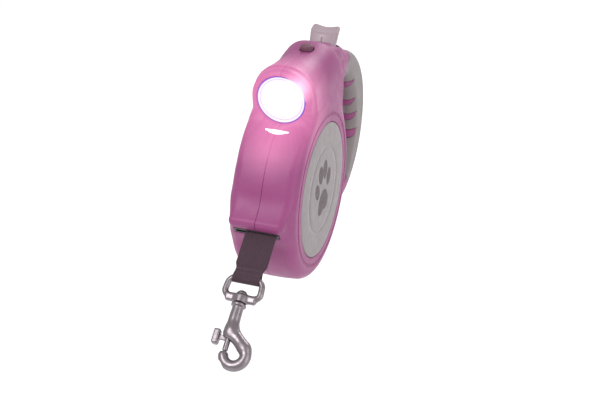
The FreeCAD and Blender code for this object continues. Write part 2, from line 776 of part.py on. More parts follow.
def coil(name, radius, wire, turns, low, high, place_at, x=0, y=0):
    """A compression spring: a swept round wire along a helix."""
    pitch = (high - low - wire) / turns
    helix = Part.makeHelix(pitch, pitch * turns, radius)
    start = Part.Wire(Part.makeCircle(wire / 2, Vector(radius, 0, 0), Vector(0, 1, 0)))
    swept = Part.Wire(helix.Edges).makePipeShell([start], True, True)
    lifted = Placement(Vector(x, y, low + wire / 2), Rotation())
    return shaped(name, swept, place_at.multiply(lifted))


brake_spring = coil("brake_spring", 2.5, 0.6, 6, 45.3, 52.4, TO_GRIP, 0, 60.2)

# ---------------------------------------------------------------- tape, eye and snap hook


def strap_form():
    """The tape from the roll down to its sewn loop round the eye's bar."""
    thick = mm("tape_thick")
    half = mm("tape_width") / 2
    loop_half = mm("eye_inner_half") - 0.7
    room = mm("bar_radius") + 0.25
    top = mm("eye_distance") + 43.6
    shoulder_low = 5.2
    shoulder_high = 8
    bend = Part.makeCylinder(room + thick, 2 * loop_half, Vector(-loop_half, 0, 0), Vector(1, 0, 0))
    flap = Part.makeBox(2 * loop_half, 2 * thick, shoulder_low + 0.8, Vector(-loop_half, -thick, 0))
    bar_room = Part.makeCylinder(room, 40, Vector(-20, 0, 0), Vector(1, 0, 0))
    outline = [
        Vector(-loop_half, 0, 1.8), Vector(loop_half, 0, 1.8), Vector(loop_half, 0, shoulder_low),
        Vector(half, 0, shoulder_high), Vector(half, 0, top), Vector(-half, 0, top),
        Vector(-half, 0, shoulder_high), Vector(-loop_half, 0, shoulder_low),
    ]
    run = Part.Face(loop_of(outline)).extrude(Vector(0, thick, 0))
    return bend.fuse([flap, run]).removeSplitter().cut(bar_room)


strap = shaped("tape", strap_form(), TO_EYE)


def stitch_group():
    """Two rows of raised stitches across the folded end."""
    thick = mm("tape_thick")
    stitches = []
    for row_z in (3.6, 5):
        for index in range(6):
            x = -5.6 + 2.24 * index
            stitches.append(Part.makeBox(
                1.5, 0.25, 0.4, Vector(x - 0.75, -thick - 0.25, row_z - 0.2)))
    return Part.makeCompound(stitches)


stitches = shaped("tape_stitches", stitch_group(), TO_EYE)


def eye_form():
    """A D-shaped eye with a round bar for the tape and a boss for the swivel pin."""
    half = mm("eye_half")
    inner = mm("eye_inner_half")
    bar = mm("bar_radius")
    bottom = -12
    frame = Part.makeBox(2 * half, 3, 0.9 - bottom, Vector(-half, -1.5, bottom))
    upright = [
        edge for edge in frame.Edges
        if edge.BoundBox.YLength > 2.9 and edge.BoundBox.ZLength < 0.01
    ]
    lower = [edge for edge in upright if edge.CenterOfMass.z < bottom + 1]
    frame = frame.makeFillet(4.4, lower)
    window = Part.makeBox(2 * inner, 4, 8.6, Vector(-inner, -2, -8.6))
    corners = [
        edge for edge in window.Edges
        if edge.BoundBox.YLength > 3.9 and edge.CenterOfMass.z < -8
    ]
    window = window.makeFillet(3, corners)
    frame = frame.cut(window).cut(Part.makeBox(2 * inner, 4, 3, Vector(-inner, -2, -1)))
    shaft = Part.makeCylinder(bar, 2 * half - 1, Vector(0.5 - half, 0, 0), Vector(1, 0, 0))
    boss = Part.makeCylinder(3.3, 3.8, Vector(0, 0, -12.6), Vector(0, 0, 1))
    body = frame.fuse([shaft, boss]).removeSplitter()
    pin_hole = Part.makeCylinder(1.65, 9, Vector(0, 0, -16), Vector(0, 0, 1))
    return body.cut(pin_hole)


eye = shaped("swivel_eye", eye_form(), TO_EYE)


def rivet_form():
    """A domed swivel rivet: the head turns in the eye, the shank is fast in the barrel."""
    outline = [
        Vector(0, 0, -16.6), Vector(1.6, 0, -16.6), Vector(1.6, 0, -8.5), Vector(2.9, 0, -8.5),
        Vector(2.7, 0, -7.6), Vector(2, 0, -6.8), Vector(1, 0, -6.35), Vector(0, 0, -6.2),
    ]
    return turned(outline, Vector(), Vector(0, 0, 1))


rivet = shaped("swivel_rivet", rivet_form(), TO_EYE)


def hook_form():
    """The barrel with its flange and slot, and the round bar that curls below it."""
    top = mm("barrel_top")
    end = mm("barrel_end")
    radius = mm("barrel_radius")
    outline = [
        Vector(0, 0, top), Vector(3.7, 0, top), Vector(3.9, 0, top - 0.5), Vector(3.7, 0, top - 1.4),
        Vector(radius - 0.6, 0, top - 2.6), Vector(radius - 0.4, 0, top - 6),
        Vector(radius, 0, end + 3), Vector(radius - 0.3, 0, end), Vector(0, 0, end),
    ]
    barrel = turned(outline, Vector(), Vector(0, 0, 1))
    centre = Vector(mm("hook_x"), 0, mm("hook_z"))
    curl = mm("hook_radius")

    def on_curl(degrees):
        angle = math.radians(degrees)
        return centre + Vector(math.cos(angle), 0, math.sin(angle)) * curl

    leave = on_curl(50)
    root = Vector(1.5, 0, leave.z + (leave.x - 1.5) * math.tan(math.radians(40)))
    path = Part.Wire([
        Part.makeLine(root, leave),
        Part.Arc(leave, on_curl(-60), on_curl(-165)).toShape(),
    ])
    section = Part.Wire(Part.makeCircle(mm("hook_bar"), root, leave - root))
    bar = path.makePipeShell([section], True, True)
    tip = Part.makeSphere(mm("hook_bar"), on_curl(-165))
    knee = Part.makeSphere(mm("hook_bar"), root)
    whole = barrel.fuse([bar, tip, knee]).removeSplitter()
    bore_wide = Part.makeCylinder(2.05, 12, Vector(0, 0, end + 1.4), Vector(0, 0, 1))
    bore_end = Part.makeCylinder(mm("rod_radius") + 0.05, 4, Vector(0, 0, end - 2), Vector(0, 0, 1))
    rivet_room = Part.makeCylinder(1.6, 3.4, Vector(0, 0, -16.6), Vector(0, 0, 1))
    slot = Part.makeBox(6, 2.4, 10.6, Vector(-6, -1.2, end - 0.5))
    clear_low = mm("rod_low") - 0.7
    path_clear = Part.makeCylinder(
        mm("rod_radius") + 0.3, end - 0.2 - clear_low, Vector(0, 0, clear_low), Vector(0, 0, 1))
    return whole.cut([bore_wide, bore_end, rivet_room, slot, path_clear])


hook = shaped("snap_hook", hook_form(), TO_EYE)


def bolt_form():
    """The sliding bolt: a rod with a collar inside the barrel and a thumb pad outside it."""
    end = mm("barrel_end")
    low = mm("rod_low")
    shank = Part.makeCylinder(
        mm("rod_radius"), end + 5.1 - low, Vector(0, 0, low), Vector(0, 0, 1))
    collar = Part.makeCylinder(1.85, 1.4, Vector(0, 0, end + 1.8), Vector(0, 0, 1))
    neck = Part.makeBox(5.6, 2, 2.4, Vector(-5.6, -1, end - 2.6))
    pad = Part.makeBox(2.8, 4.6, 8, Vector(-8.2, -2.3, end - 5.4))
    soft = [edge for edge in pad.Edges if edge.CenterOfMass.x < -7]
    pad = pad.makeFillet(1, soft)
    return shank.fuse([collar, neck, pad]).removeSplitter()


bolt = shaped("snap_bolt", bolt_form(), TO_EYE)
bolt_spring = coil("bolt_spring", 1.6, 0.45, 7, mm("barrel_end") + 3.3, -17.3, TO_EYE)

# ---------------------------------------------------------------- check and write

NODES = [
    shell_right, shell_left, sleeve, badge_right, badge_left, lens, gasket, mirror, board, emitter,
    glow, cells, holder, contacts, switch_module, switch_cap, door, axle, screws, guide,
    drum, ratchet, roll, cup, lid, mainspring, button, pawl, brake_spring,
    strap, stitches, eye, rivet, hook, bolt, bolt_spring,
]

doc.recompute()
for thing in doc.Objects:
    if "Invalid" in thing.State or "Error" in thing.State:
        raise RuntimeError(f"{thing.Name} did not build: {thing.State}")
os.makedirs("parts", exist_ok=True)
for node in NODES:
    node.Label = node.Name
    if node.Shape.isNull() or not node.Shape.isValid():
        raise RuntimeError(f"{node.Name} has no valid shape")
    node.Shape.exportStep(f"parts/{node.Label}.step")
    print(f"{node.Label}: {len(node.Shape.Solids)} solid(s), {node.Shape.Volume / 1000:.2f} cm3")
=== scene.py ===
"""The looks of a retractable tape leash with a built-in torch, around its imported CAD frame."""

import json
import math

import bmesh
import bpy
import numpy as np
from mathutils import Matrix, Vector

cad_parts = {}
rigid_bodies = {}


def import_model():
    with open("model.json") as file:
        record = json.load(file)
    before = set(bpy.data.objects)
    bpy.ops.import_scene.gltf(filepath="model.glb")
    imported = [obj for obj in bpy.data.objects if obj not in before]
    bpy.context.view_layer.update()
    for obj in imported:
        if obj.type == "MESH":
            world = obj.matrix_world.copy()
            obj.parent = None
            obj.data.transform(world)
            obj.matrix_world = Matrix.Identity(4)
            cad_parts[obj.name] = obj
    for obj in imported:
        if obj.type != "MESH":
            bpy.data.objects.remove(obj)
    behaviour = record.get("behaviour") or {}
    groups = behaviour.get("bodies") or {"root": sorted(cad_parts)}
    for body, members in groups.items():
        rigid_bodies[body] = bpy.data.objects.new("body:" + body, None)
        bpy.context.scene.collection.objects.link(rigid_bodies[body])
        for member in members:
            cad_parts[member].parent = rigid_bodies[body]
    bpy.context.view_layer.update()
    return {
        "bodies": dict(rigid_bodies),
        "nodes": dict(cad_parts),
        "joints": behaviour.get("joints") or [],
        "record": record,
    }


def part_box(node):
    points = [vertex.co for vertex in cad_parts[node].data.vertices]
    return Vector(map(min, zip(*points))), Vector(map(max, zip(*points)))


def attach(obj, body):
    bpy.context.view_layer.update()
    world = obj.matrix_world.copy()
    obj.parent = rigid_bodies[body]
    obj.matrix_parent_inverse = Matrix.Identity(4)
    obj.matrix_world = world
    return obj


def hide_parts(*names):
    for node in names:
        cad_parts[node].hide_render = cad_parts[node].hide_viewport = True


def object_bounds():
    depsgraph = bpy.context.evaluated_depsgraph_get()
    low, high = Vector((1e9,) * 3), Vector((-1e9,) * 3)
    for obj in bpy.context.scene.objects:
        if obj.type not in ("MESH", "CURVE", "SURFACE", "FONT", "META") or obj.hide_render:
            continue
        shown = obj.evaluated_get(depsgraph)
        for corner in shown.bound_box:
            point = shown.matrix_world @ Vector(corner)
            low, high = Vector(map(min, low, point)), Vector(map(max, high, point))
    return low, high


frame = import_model()
nodes = frame["nodes"]

# ------------------------------------------------------------------ places, in millimetres
# The forms are worked out in millimetres from the spool's axle, as the CAD is, and moved
# to the row's frame when their meshes are made. The axle is read from the frame.
axle_low, axle_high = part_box("spool_axle")
AXLE = (axle_low + axle_high) / 2 * 1000
HALF = 18.0
TORCH_Z = 58.0
TORCH_FRONT = -16.5
LENS_R = 13.2
BADGE_R = 37.0
GROOVE_R = 41.7
RING_Y, RING_Z, RING_R = 56.3, 7.0, 46.48
HOLE_Y, HOLE_REACH, HOLE_HEIGHT = 56.0, 23.0, 33.0
GRIP_HALF = 12.5
SLEEVE = 1.8
SLOPE = math.radians(34)
SLOT = np.array([0.0, -54.5, 1.4])
OUTWARD = np.array([0.0, -math.cos(SLOPE), -math.sin(SLOPE)])
TAPE_MID = 2.5
EYE_DISTANCE = 25.5
SWITCH_BASE = (1.0, 23.0, 70.05)
EYE_BAR = SLOT + np.array([TAPE_MID, 0, 0]) + OUTWARD * EYE_DISTANCE


def to_row(points):
    """Millimetres from the axle to metres in the row's frame."""
    return (np.asarray(points, float) + np.array(AXLE)) / 1000


# ------------------------------------------------------------------ camera, floor and light

VIEW_AZIMUTH = math.radians(19.07)
VIEW_ELEVATION = math.radians(29.81)
VIEW_DISTANCE = 652.8
LENS_MM = 72.0
AIM_RIGHT = math.radians(0.41)
AIM_DOWN = math.radians(0.74)


def add_camera():
    """The camera of the reference view, turned so that its lens needs no shift."""
    back = Vector((
        math.sin(VIEW_AZIMUTH) * math.cos(VIEW_ELEVATION),
        -math.cos(VIEW_AZIMUTH) * math.cos(VIEW_ELEVATION),
        math.sin(VIEW_ELEVATION),
    ))
    right = Vector((math.cos(VIEW_AZIMUTH), math.sin(VIEW_AZIMUTH), 0))
    up = back.cross(right)
    place = Vector(to_row(back * VIEW_DISTANCE))
    aim = right * math.tan(AIM_RIGHT) - up * math.tan(AIM_DOWN) - back
    data = bpy.data.cameras.new("view")
    data.sensor_width = 36
    data.lens = LENS_MM
    data.clip_start = 0.01
    camera = bpy.data.objects.new("view", data)
    bpy.context.scene.collection.objects.link(camera)
    turn = aim.normalized().to_track_quat("-Z", "Y")
    camera.matrix_world = Matrix.Translation(place) @ turn.to_matrix().to_4x4()
    bpy.context.scene.camera = camera


def add_area(name, place, aim, size, watts, colour=(1, 1, 1)):
    data = bpy.data.lights.new(name, "AREA")
    data.shape = "RECTANGLE"
    data.size, data.size_y = size
    data.energy = watts
    data.color = colour
    lamp = bpy.data.objects.new(name, data)
    bpy.context.scene.collection.objects.link(lamp)
    turn = (Vector(aim) - Vector(place)).to_track_quat("-Z", "Y")
    lamp.matrix_world = Matrix.Translation(place) @ turn.to_matrix().to_4x4()


def add_stage():
    """A plain pale floor well below the hanging hook, a pale world and soft lamps."""
    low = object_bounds()[0].z - 0.12
    mesh = bpy.data.meshes.new("floor")
    reach = 6.0
    mesh.from_pydata(
        [(-reach, -reach, low), (reach, -reach, low), (reach, reach, low), (-reach, reach, low)],
        [], [(0, 1, 2, 3)],
    )
    floor = bpy.data.objects.new("floor", mesh)
    bpy.context.scene.collection.objects.link(floor)
    mat = new_material("floor_paper")
    shade = mat.node_tree.nodes["Principled BSDF"]
    shade.inputs["Base Color"].default_value = (0.93, 0.93, 0.93, 1)
    shade.inputs["Roughness"].default_value = 0.9
    mesh.materials.append(mat)

    world = bpy.data.worlds.new("studio")
    world.use_nodes = True
    world.node_tree.nodes["Background"].inputs["Color"].default_value = (1, 1, 1, 1)
    world.node_tree.nodes["Background"].inputs["Strength"].default_value = 0.72
    bpy.context.scene.world = world
    add_area("key", (-0.35, -0.75, 0.85), (0, -0.08, 0), (0.6, 0.6), 7)
    add_area("right_fill", (0.9, -0.35, 0.35), (0, -0.08, 0), (0.6, 0.8), 3)
    add_area("back_rim", (0.2, 0.9, 0.5), (0, 0, 0), (0.6, 0.5), 5)
    bpy.context.scene.view_settings.view_transform = "Standard"


# ------------------------------------------------------------------ materials


class Nodes:
    """Short names for building a node tree."""

    def __init__(self, mat):
        self.tree = mat.node_tree
        self.shade = self.tree.nodes["Principled BSDF"]

    def add(self, kind, **values):
        node = self.tree.nodes.new(kind)
        for name, value in values.items():
            if name in ("operation", "blend_type", "data_type", "feature", "bands_direction",
                        "wave_type", "noise_dimensions", "noise_type", "distance"):
                setattr(node, name, value)
            else:
                node.inputs[name.replace("_", " ")].default_value = value
        return node

    def link(self, out, into):
        self.tree.links.new(out, into)

    def feed(self, socket, out):
        """Drive one of the shader's sockets."""
        self.link(out, self.shade.inputs[socket])

    def fix(self, socket, value):
        """Give one of the shader's sockets a constant."""
        self.shade.inputs[socket].default_value = value

    def place(self):
        """Object coordinates: the row's frame, in metres."""
        return self.add("ShaderNodeTexCoord").outputs["Object"]

    def flat_place(self, keep):
        """Object coordinates with some of the axes left out."""
        node = self.tree.nodes.new("ShaderNodeVectorMath")
        node.operation = "MULTIPLY"
        self.link(self.place(), node.inputs[0])
        node.inputs[1].default_value = keep
        return node.outputs[0]

    def distance(self, at, spot):
        node = self.tree.nodes.new("ShaderNodeVectorMath")
        node.operation = "DISTANCE"
        self.link(at, node.inputs[0])
        node.inputs[1].default_value = spot
        return node.outputs["Value"]

    def tape_place(self):
        """Object coordinates turned so that Z runs up the tape."""
        node = self.tree.nodes.new("ShaderNodeVectorRotate")
        node.rotation_type = "X_AXIS"
        node.inputs["Angle"].default_value = math.pi / 2 - SLOPE
        self.link(self.place(), node.inputs["Vector"])
        return node.outputs["Vector"]

    def noise(self, scale, detail=3.0, rough=0.5, at=None):
        node = self.add("ShaderNodeTexNoise", Scale=scale, Detail=detail, Roughness=rough)
        self.link(at or self.place(), node.inputs["Vector"])
        return node.outputs["Fac"]

    def ramp(self, value, stops):
        node = self.tree.nodes.new("ShaderNodeValToRGB")
        ramp = node.color_ramp
        while len(ramp.elements) < len(stops):
            ramp.elements.new(0.5)
        for element, (spot, colour) in zip(ramp.elements, stops):
            element.position = spot
            element.color = tuple(colour) + ((1,) if len(colour) == 3 else ())
        self.link(value, node.inputs["Fac"])
        return node.outputs["Color"]

    def remap(self, value, low, high, to_low, to_high):
        node = self.add("ShaderNodeMapRange")
        node.inputs["From Min"].default_value = low
        node.inputs["From Max"].default_value = high
        node.inputs["To Min"].default_value = to_low
        node.inputs["To Max"].default_value = to_high
        self.link(value, node.inputs["Value"])
        return node.outputs["Result"]

    def math(self, operation, a, b=None):
        node = self.tree.nodes.new("ShaderNodeMath")
        node.operation = operation
        for index, value in enumerate((a, b)):
            if value is None:
                continue
            if isinstance(value, (int, float)):
                node.inputs[index].default_value = value
            else:
                self.link(value, node.inputs[index])
        return node.outputs[0]

    def bump(self, height, distance, strength=1.0, below=None):
        node = self.add("ShaderNodeBump", Strength=strength, Distance=distance)
        self.link(height, node.inputs["Height"])
        if below:
            self.link(below, node.inputs["Normal"])
        return node.outputs["Normal"]


def new_material(name):
    mat = bpy.data.materials.new(name)
    mat.use_nodes = True
    return mat


def moulded(name, colour, rough=0.35, grain=0.00004, coat=0.0, spread=0.06, grain_scale=1800):
    """Moulded plastic: a slightly uneven colour, a fine spark-eroded grain and soft gloss."""
    mat = new_material(name)
    n = Nodes(mat)
    light = tuple(min(1, c * (1 + spread)) for c in colour)
    dark = tuple(c * (1 - spread) for c in colour)
    n.feed("Base Color", n.ramp(n.noise(60, 2), [(0.3, dark), (0.7, light)]))
    n.feed("Roughness", n.remap(n.noise(220, 3), 0.3, 0.7, rough * 0.88, rough * 1.12))
    n.feed("Normal", n.bump(n.noise(grain_scale, 2), grain))
    n.fix("Coat Weight", coat)
    n.fix("Coat Roughness", 0.25)
    return mat


def metal(name, colour, rough, brushed=0.0):
    """Metal with a faint haze of wear in its roughness and a fine surface."""
    mat = new_material(name)
    n = Nodes(mat)
    n.fix("Metallic", 1.0)
    light = tuple(min(1, c * 1.06) for c in colour)
    dark = tuple(c * 0.9 for c in colour)
    n.feed("Base Color", n.ramp(n.noise(240, 4), [(0.35, dark), (0.65, light)]))
    n.feed("Roughness", n.remap(n.noise(420, 4, 0.65), 0.3, 0.7, rough * 0.7, rough * 1.35))
    n.feed("Normal", n.bump(n.noise(700, 4, 0.6), 0.00003 + brushed))
    return mat


# ------------------------------------------------------------------ forms as distance fields
# Each field gives the distance in millimetres from points (an n by 3 array) to a surface,
# negative inside. A field becomes a mesh of quads whose corners lie on the surface, and the
# field's own slope gives the shading normals.


def smin(a, b, k):
    """Union with a soft concave blend about k wide."""
    mix = np.clip(0.5 + 0.5 * (b - a) / k, 0, 1)
    return b * (1 - mix) + a * mix - k * mix * (1 - mix)


def rmax(a, b, r):
    """Intersection whose meeting edge is rounded to radius r."""
    corner = np.sqrt(np.maximum(a + r, 0) ** 2 + np.maximum(b + r, 0) ** 2)
    return np.minimum(-r, np.maximum(a, b)) + corner


def carve(body, tool, r):
    """The body less the tool, with the cut's edge rounded."""
    return rmax(body, -tool, r)


def smooth_table(points, low, high, spread):
    """A function that follows (place, value) points with its corners softened."""
    where = np.linspace(low, high, 1200)
    values = np.interp(where, *np.array(points, float).T)
    step = where[1] - where[0]
    reach = int(4 * spread / step)
    kernel = np.exp(-0.5 * (np.arange(-reach, reach + 1) * step / spread) ** 2)
    padded = np.pad(values, reach, mode="edge")
    soft = np.convolve(padded, kernel / kernel.sum(), mode="valid")
    return lambda at: np.interp(at, where, soft)


def block(p, centre, half, r):
    """A box with rounded edges."""
    q = np.abs(p - np.array(centre, float)) - (np.array(half, float) - r)
    outside = np.sqrt((np.maximum(q, 0) ** 2).sum(1))
    return outside + np.minimum(q.max(1), 0) - r


def rod_along(p, axis, centre, radius, low, high, r=0.0):
    """A cylinder along one axis between two places, with rounded rims."""
    others = [i for i in range(3) if i != axis]
    away = np.hypot(p[:, others[0]] - centre[0], p[:, others[1]] - centre[1]) - radius
    ends = np.abs(p[:, axis] - (low + high) / 2) - (high - low) / 2
    return rmax(away, ends, r) if r else np.maximum(away, ends)


def behind_line(y, z, start, end):
    """Signed distance from a line in the side view, positive on the left of its direction."""
    run = np.array(end, float) - np.array(start, float)
    run /= np.hypot(*run)
    return (z - start[1]) * run[0] - (y - start[0]) * run[1]


def tape_frame(p):
    """Points in the tape's frame: across, through its thickness and up it, from the eye's bar."""
    q = p - EYE_BAR
    through = q[:, 1] * math.sin(SLOPE) - q[:, 2] * math.cos(SLOPE)
    up = q[:, 1] * math.cos(SLOPE) + q[:, 2] * math.sin(SLOPE)
    return np.stack([q[:, 0], through, up], 1)


def from_tape_frame(p):
    """Points of the tape's frame back in millimetres from the axle."""
    p = np.asarray(p, float)
    back = np.array([0, math.sin(SLOPE), -math.cos(SLOPE)])
    along = np.array([0, math.cos(SLOPE), math.sin(SLOPE)])
    return EYE_BAR + p[:, :1] * np.array([1.0, 0, 0]) + p[:, 1:2] * back + p[:, 2:3] * along


def slope_of(field, p, h=0.03):
    """The field and its gradient at each point."""
    base = field(p)
    grad = np.empty_like(p)
    for axis in range(3):
        q = p.copy()
        q[:, axis] += h
        grad[:, axis] = (field(q) - base) / h
    return base, grad


def net_mesh(name, field, lattice, place=to_row, block_cells=6):
    """A closed quad mesh of the field's surface on a lattice of three lists of places."""
    axes = [np.asarray(a, float) for a in lattice]
    shape = tuple(len(a) for a in axes)
    starts = [np.arange(0, n - 1, block_cells) for n in shape]
    ends = [np.minimum(s + block_cells, n - 1) for s, n in zip(starts, shape)]
    middles = [(a[s] + a[e]) / 2 for a, s, e in zip(axes, starts, ends)]
    halves = [(a[e] - a[s]) / 2 for a, s, e in zip(axes, starts, ends)]
    centre = np.stack(np.meshgrid(*middles, indexing="ij"), -1).reshape(-1, 3)
    reach = np.sqrt(sum(h ** 2 for h in np.meshgrid(*halves, indexing="ij"))).ravel()
    coarse = field(centre)
    near = np.abs(coarse) < 1.3 * reach + 0.6
    values = np.empty(shape, np.float32)
    wanted = np.zeros(shape, bool)
    counts = [len(s) for s in starts]
    for number, corner in enumerate(np.ndindex(*counts)):
        span = tuple(slice(starts[i][corner[i]], ends[i][corner[i]] + 1) for i in range(3))
        if near[number]:
            wanted[span] = True
        else:
            values[span] = math.copysign(1e3, coarse[number])
    index = np.argwhere(wanted)
    found = np.empty(len(index), np.float32)
    batch = 500000
    for start in range(0, len(index), batch):
        part = index[start:start + batch]
        points = np.stack([axes[i][part[:, i]] for i in range(3)], 1)
        found[start:start + batch] = field(points)
    values[wanted] = found

    inside = values < 0
    count = np.zeros(tuple(n - 1 for n in shape), np.int8)
    corners = [(i, j, k) for i in (0, 1) for j in (0, 1) for k in (0, 1)]
    for i, j, k in corners:
        count += inside[i:shape[0] - 1 + i, j:shape[1] - 1 + j, k:shape[2] - 1 + k]
    active = (count > 0) & (count < 8)
    cells = np.argwhere(active)
    number = np.full(active.shape, -1, np.int64)
    number[active] = np.arange(len(cells))

    total = np.zeros((len(cells), 3))
    hits = np.zeros(len(cells))
    for a in corners:
        for axis in range(3):
            if a[axis]:
                continue
            b = tuple(a[i] + (i == axis) for i in range(3))
            ia = cells + a
            ib = cells + b
            va = values[ia[:, 0], ia[:, 1], ia[:, 2]].astype(float)
            vb = values[ib[:, 0], ib[:, 1], ib[:, 2]].astype(float)
            cross = (va < 0) != (vb < 0)
            t = np.where(cross, va / np.where(cross, va - vb, 1), 0)[:, None]
            pa = np.stack([axes[i][ia[:, i]] for i in range(3)], 1)
            pb = np.stack([axes[i][ib[:, i]] for i in range(3)], 1)
            total += np.where(cross[:, None], pa + t * (pb - pa), 0)
            hits += cross
    points = total / hits[:, None]
    room = np.stack([np.diff(axes[i])[cells[:, i]] for i in range(3)], 1).min(1)
    for _ in range(3):
        base, grad = slope_of(field, points)
        size = np.maximum((grad ** 2).sum(1), 0.05)
        step = -grad * (base / size)[:, None]
        length = np.sqrt((step ** 2).sum(1))
        limit = 0.5 * room
        step *= np.minimum(1, limit / np.maximum(length, 1e-9))[:, None]
        points += step
    grad = slope_of(field, points)[1]

    quads = []
    for axis in range(3):
        others = [(axis + 1) % 3, (axis + 2) % 3]
        low = [slice(1, n - 1) for n in shape]
        low[axis] = slice(0, shape[axis] - 1)
        high = list(low)
        high[axis] = slice(1, shape[axis])
        first = inside[tuple(low)]
        second = inside[tuple(high)]
        changed = np.argwhere(first != second)
        outward = first[first != second]
        changed += np.array([0 if i == axis else 1 for i in range(3)])
        ring = []
        for du, dv in ((-1, -1), (0, -1), (0, 0), (-1, 0)):
            cell = changed.copy()
            cell[:, others[0]] += du
            cell[:, others[1]] += dv
            ring.append(number[cell[:, 0], cell[:, 1], cell[:, 2]])
        quad = np.stack(ring, 1)
        quad[~outward] = quad[~outward][:, ::-1]
        quads.append(quad)
    quads = np.concatenate(quads)
    return quad_object(name, place(points), quads, turn_normals(grad, points, place))


def turn_normals(grad, points, place):
    """Unit normals carried through the same move as the points."""
    tips = place(points + 0.01 * grad)
    way = tips - place(points)
    return way / np.maximum(np.linalg.norm(way, axis=1), 1e-12)[:, None]


def quad_object(name, points, quads, normals=None):
    """An object from corner points and quads, smooth, with given normals if there are any."""
    mesh = bpy.data.meshes.new(name)
    mesh.vertices.add(len(points))
    mesh.vertices.foreach_set("co", np.asarray(points, np.float32).ravel())
    mesh.loops.add(quads.size)
    mesh.loops.foreach_set("vertex_index", quads.astype(np.int32).ravel())
    mesh.polygons.add(len(quads))
    mesh.polygons.foreach_set("loop_start", np.arange(0, quads.size, 4, dtype=np.int32))
    mesh.update(calc_edges=True)
    mesh.validate()
    mesh.polygons.foreach_set("use_smooth", np.ones(len(mesh.polygons), bool))
    if normals is not None and len(mesh.vertices) == len(normals):
        mesh.normals_split_custom_set_from_vertices([tuple(n) for n in normals])
    piece = bpy.data.objects.new(name, mesh)
    bpy.context.scene.collection.objects.link(piece)
    return piece


def places(*runs):
    """Lattice places: runs of (start, end, cell), each starting where the last one ended."""
    out = [np.array([runs[0][0]], float)]
    for start, end, cell in runs:
        count = max(1, int(round((end - start) / cell)))
        out.append(np.linspace(start, end, count + 1)[1:])
    return np.concatenate(out)


# ------------------------------------------------------------------ the housing and the handle

CROWN_CENTRE = -63.4
CROWN_RADIUS = 113.9
CREST = smooth_table(
    [(-20, 73.5), (-8, 72.3), (2, 70.6), (14, 69.7), (24, 70.7), (32, 71.1), (38, 69.2), (46, 60)],
    -20, 46, 2.0)
TURRET = smooth_table([(-20, 16.3), (-9, 16.3), (16, 10.8), (20, 9.8)], -20, 20, 1.5)
SHOULDER_HALF = smooth_table(
    [(30, 13.2), (44, 12.8), (54, 12.4), (62, 11.2), (68, 8.6), (72, 7)], 30, 72, 2.0)
SHOULDER_TOP = smooth_table(
    [(30, 67), (44, 65.2), (54, 62.4), (62, 58.8), (68, 54.6), (72, 51)], 30, 72, 2.0)
# Each fin of the grip, from the side: its tip, and its top and bottom at the finger hole.
FINS = (
    (77.0, 31.0, 31.0, 24.4),
    (81.6, 17.4, 15.2, 10.4),
    (84.0, 7.4, 6.0, 2.0),
    (85.2, -3.8, -2.6, -7.4),
)
OVAL_END = HOLE_REACH ** 2 / HOLE_HEIGHT
OVAL_UP = HOLE_HEIGHT - OVAL_END
OVAL_SIDE = (HOLE_REACH ** 2 + HOLE_HEIGHT ** 2 - 2 * HOLE_HEIGHT * OVAL_END) / (
    2 * (HOLE_REACH - OVAL_END))
OVAL_BACK = OVAL_SIDE - HOLE_REACH


def arch_field(x, z, half, base, top):
    """A squarish arch across the body: upright sides that close over in a cubic curve."""
    u = np.abs(x) / half
    v = np.maximum(z - base, 0) / (top - base)
    size = np.cbrt(u ** 3 + v ** 3) + 1e-6
    steep = np.hypot(u ** 2 / half, v ** 2 / (top - base)) / size ** 2 + 1e-6
    return (size - 1) / steep


def disc_core(p):
    """Crown and dome together, before the flat faces trim them."""
    x, y, z = p.T
    crown = np.hypot(x, np.hypot(y, z) - CROWN_CENTRE) - CROWN_RADIUS
    dome = arch_field(x, z, HALF - 0.2, 30.0, CREST(y))
    dome = rmax(dome, y - 43.5, 4.5)
    dome = np.maximum(dome, -8 - y)
    dome = np.maximum(dome, 16 - z)
    return smin(crown, dome, 6.0)


def oval(y, z):
    """Signed distance from the finger hole's edge, negative inside the hole."""
    a = np.abs(y - HOLE_Y)
    b = np.abs(z - RING_Z)
    at_end = OVAL_BACK * (b - OVAL_UP) - OVAL_UP * a > 0
    end = np.hypot(a, b - OVAL_UP) - OVAL_END
    side = np.hypot(a + OVAL_BACK, b) - OVAL_SIDE
    return np.where(at_end, end, side)


def ring_field(p):
    """The handle's ring, rounder in section towards the rear."""
    x, y, z = p.T
    rim = np.hypot(y - RING_Y, z - RING_Z) - RING_R
    flat = rmax(rim, -oval(y, z), 1.5)
    swell = np.clip((y - 52) / 30, 0, 1)
    rounding = 5.6 + 0.6 * swell * swell * (3 - 2 * swell)
    return rmax(flat, np.abs(x) - GRIP_HALF, rounding)


def hood_field(p):
    x, y, z = p.T
    top = behind_line(y, z, (-57.2, 8.8), (-46.6, 17.2))
    roof = behind_line(y, z, (-46.6, 17.2), (-40, 19.1))
    face = (y - SLOT[1]) * OUTWARD[1] + (z - SLOT[2]) * OUTWARD[2]
    floor = behind_line(y, z, (-42, -8.8), (-50.3, -4.8))
    form = rmax(rmax(top, roof, 8.0), face, 2.6)
    form = rmax(form, -57.4 - y, 1.5)
    form = rmax(form, floor, 1.0)
    form = np.maximum(form, y + 34)
    return rmax(form, np.abs(x) - 14.7, 3.0)


def turret_field(p):
    x, y, z = p.T
    rise = z - TORCH_Z
    away = np.hypot(x, np.where(rise > 0, rise, 0.45 * rise))
    form = (away - TURRET(y)) * 0.97
    form = rmax(form, TORCH_FRONT - y, 3.4)
    return np.maximum(form, y - 16)


def shoulder_field(p):
    x, y, z = p.T
    form = arch_field(x, z, SHOULDER_HALF(y), 47.0, SHOULDER_TOP(y))
    form = np.maximum(form, 34 - y)
    form = rmax(form, y - 69, 3.0)
    return np.maximum(form, 42 - z)


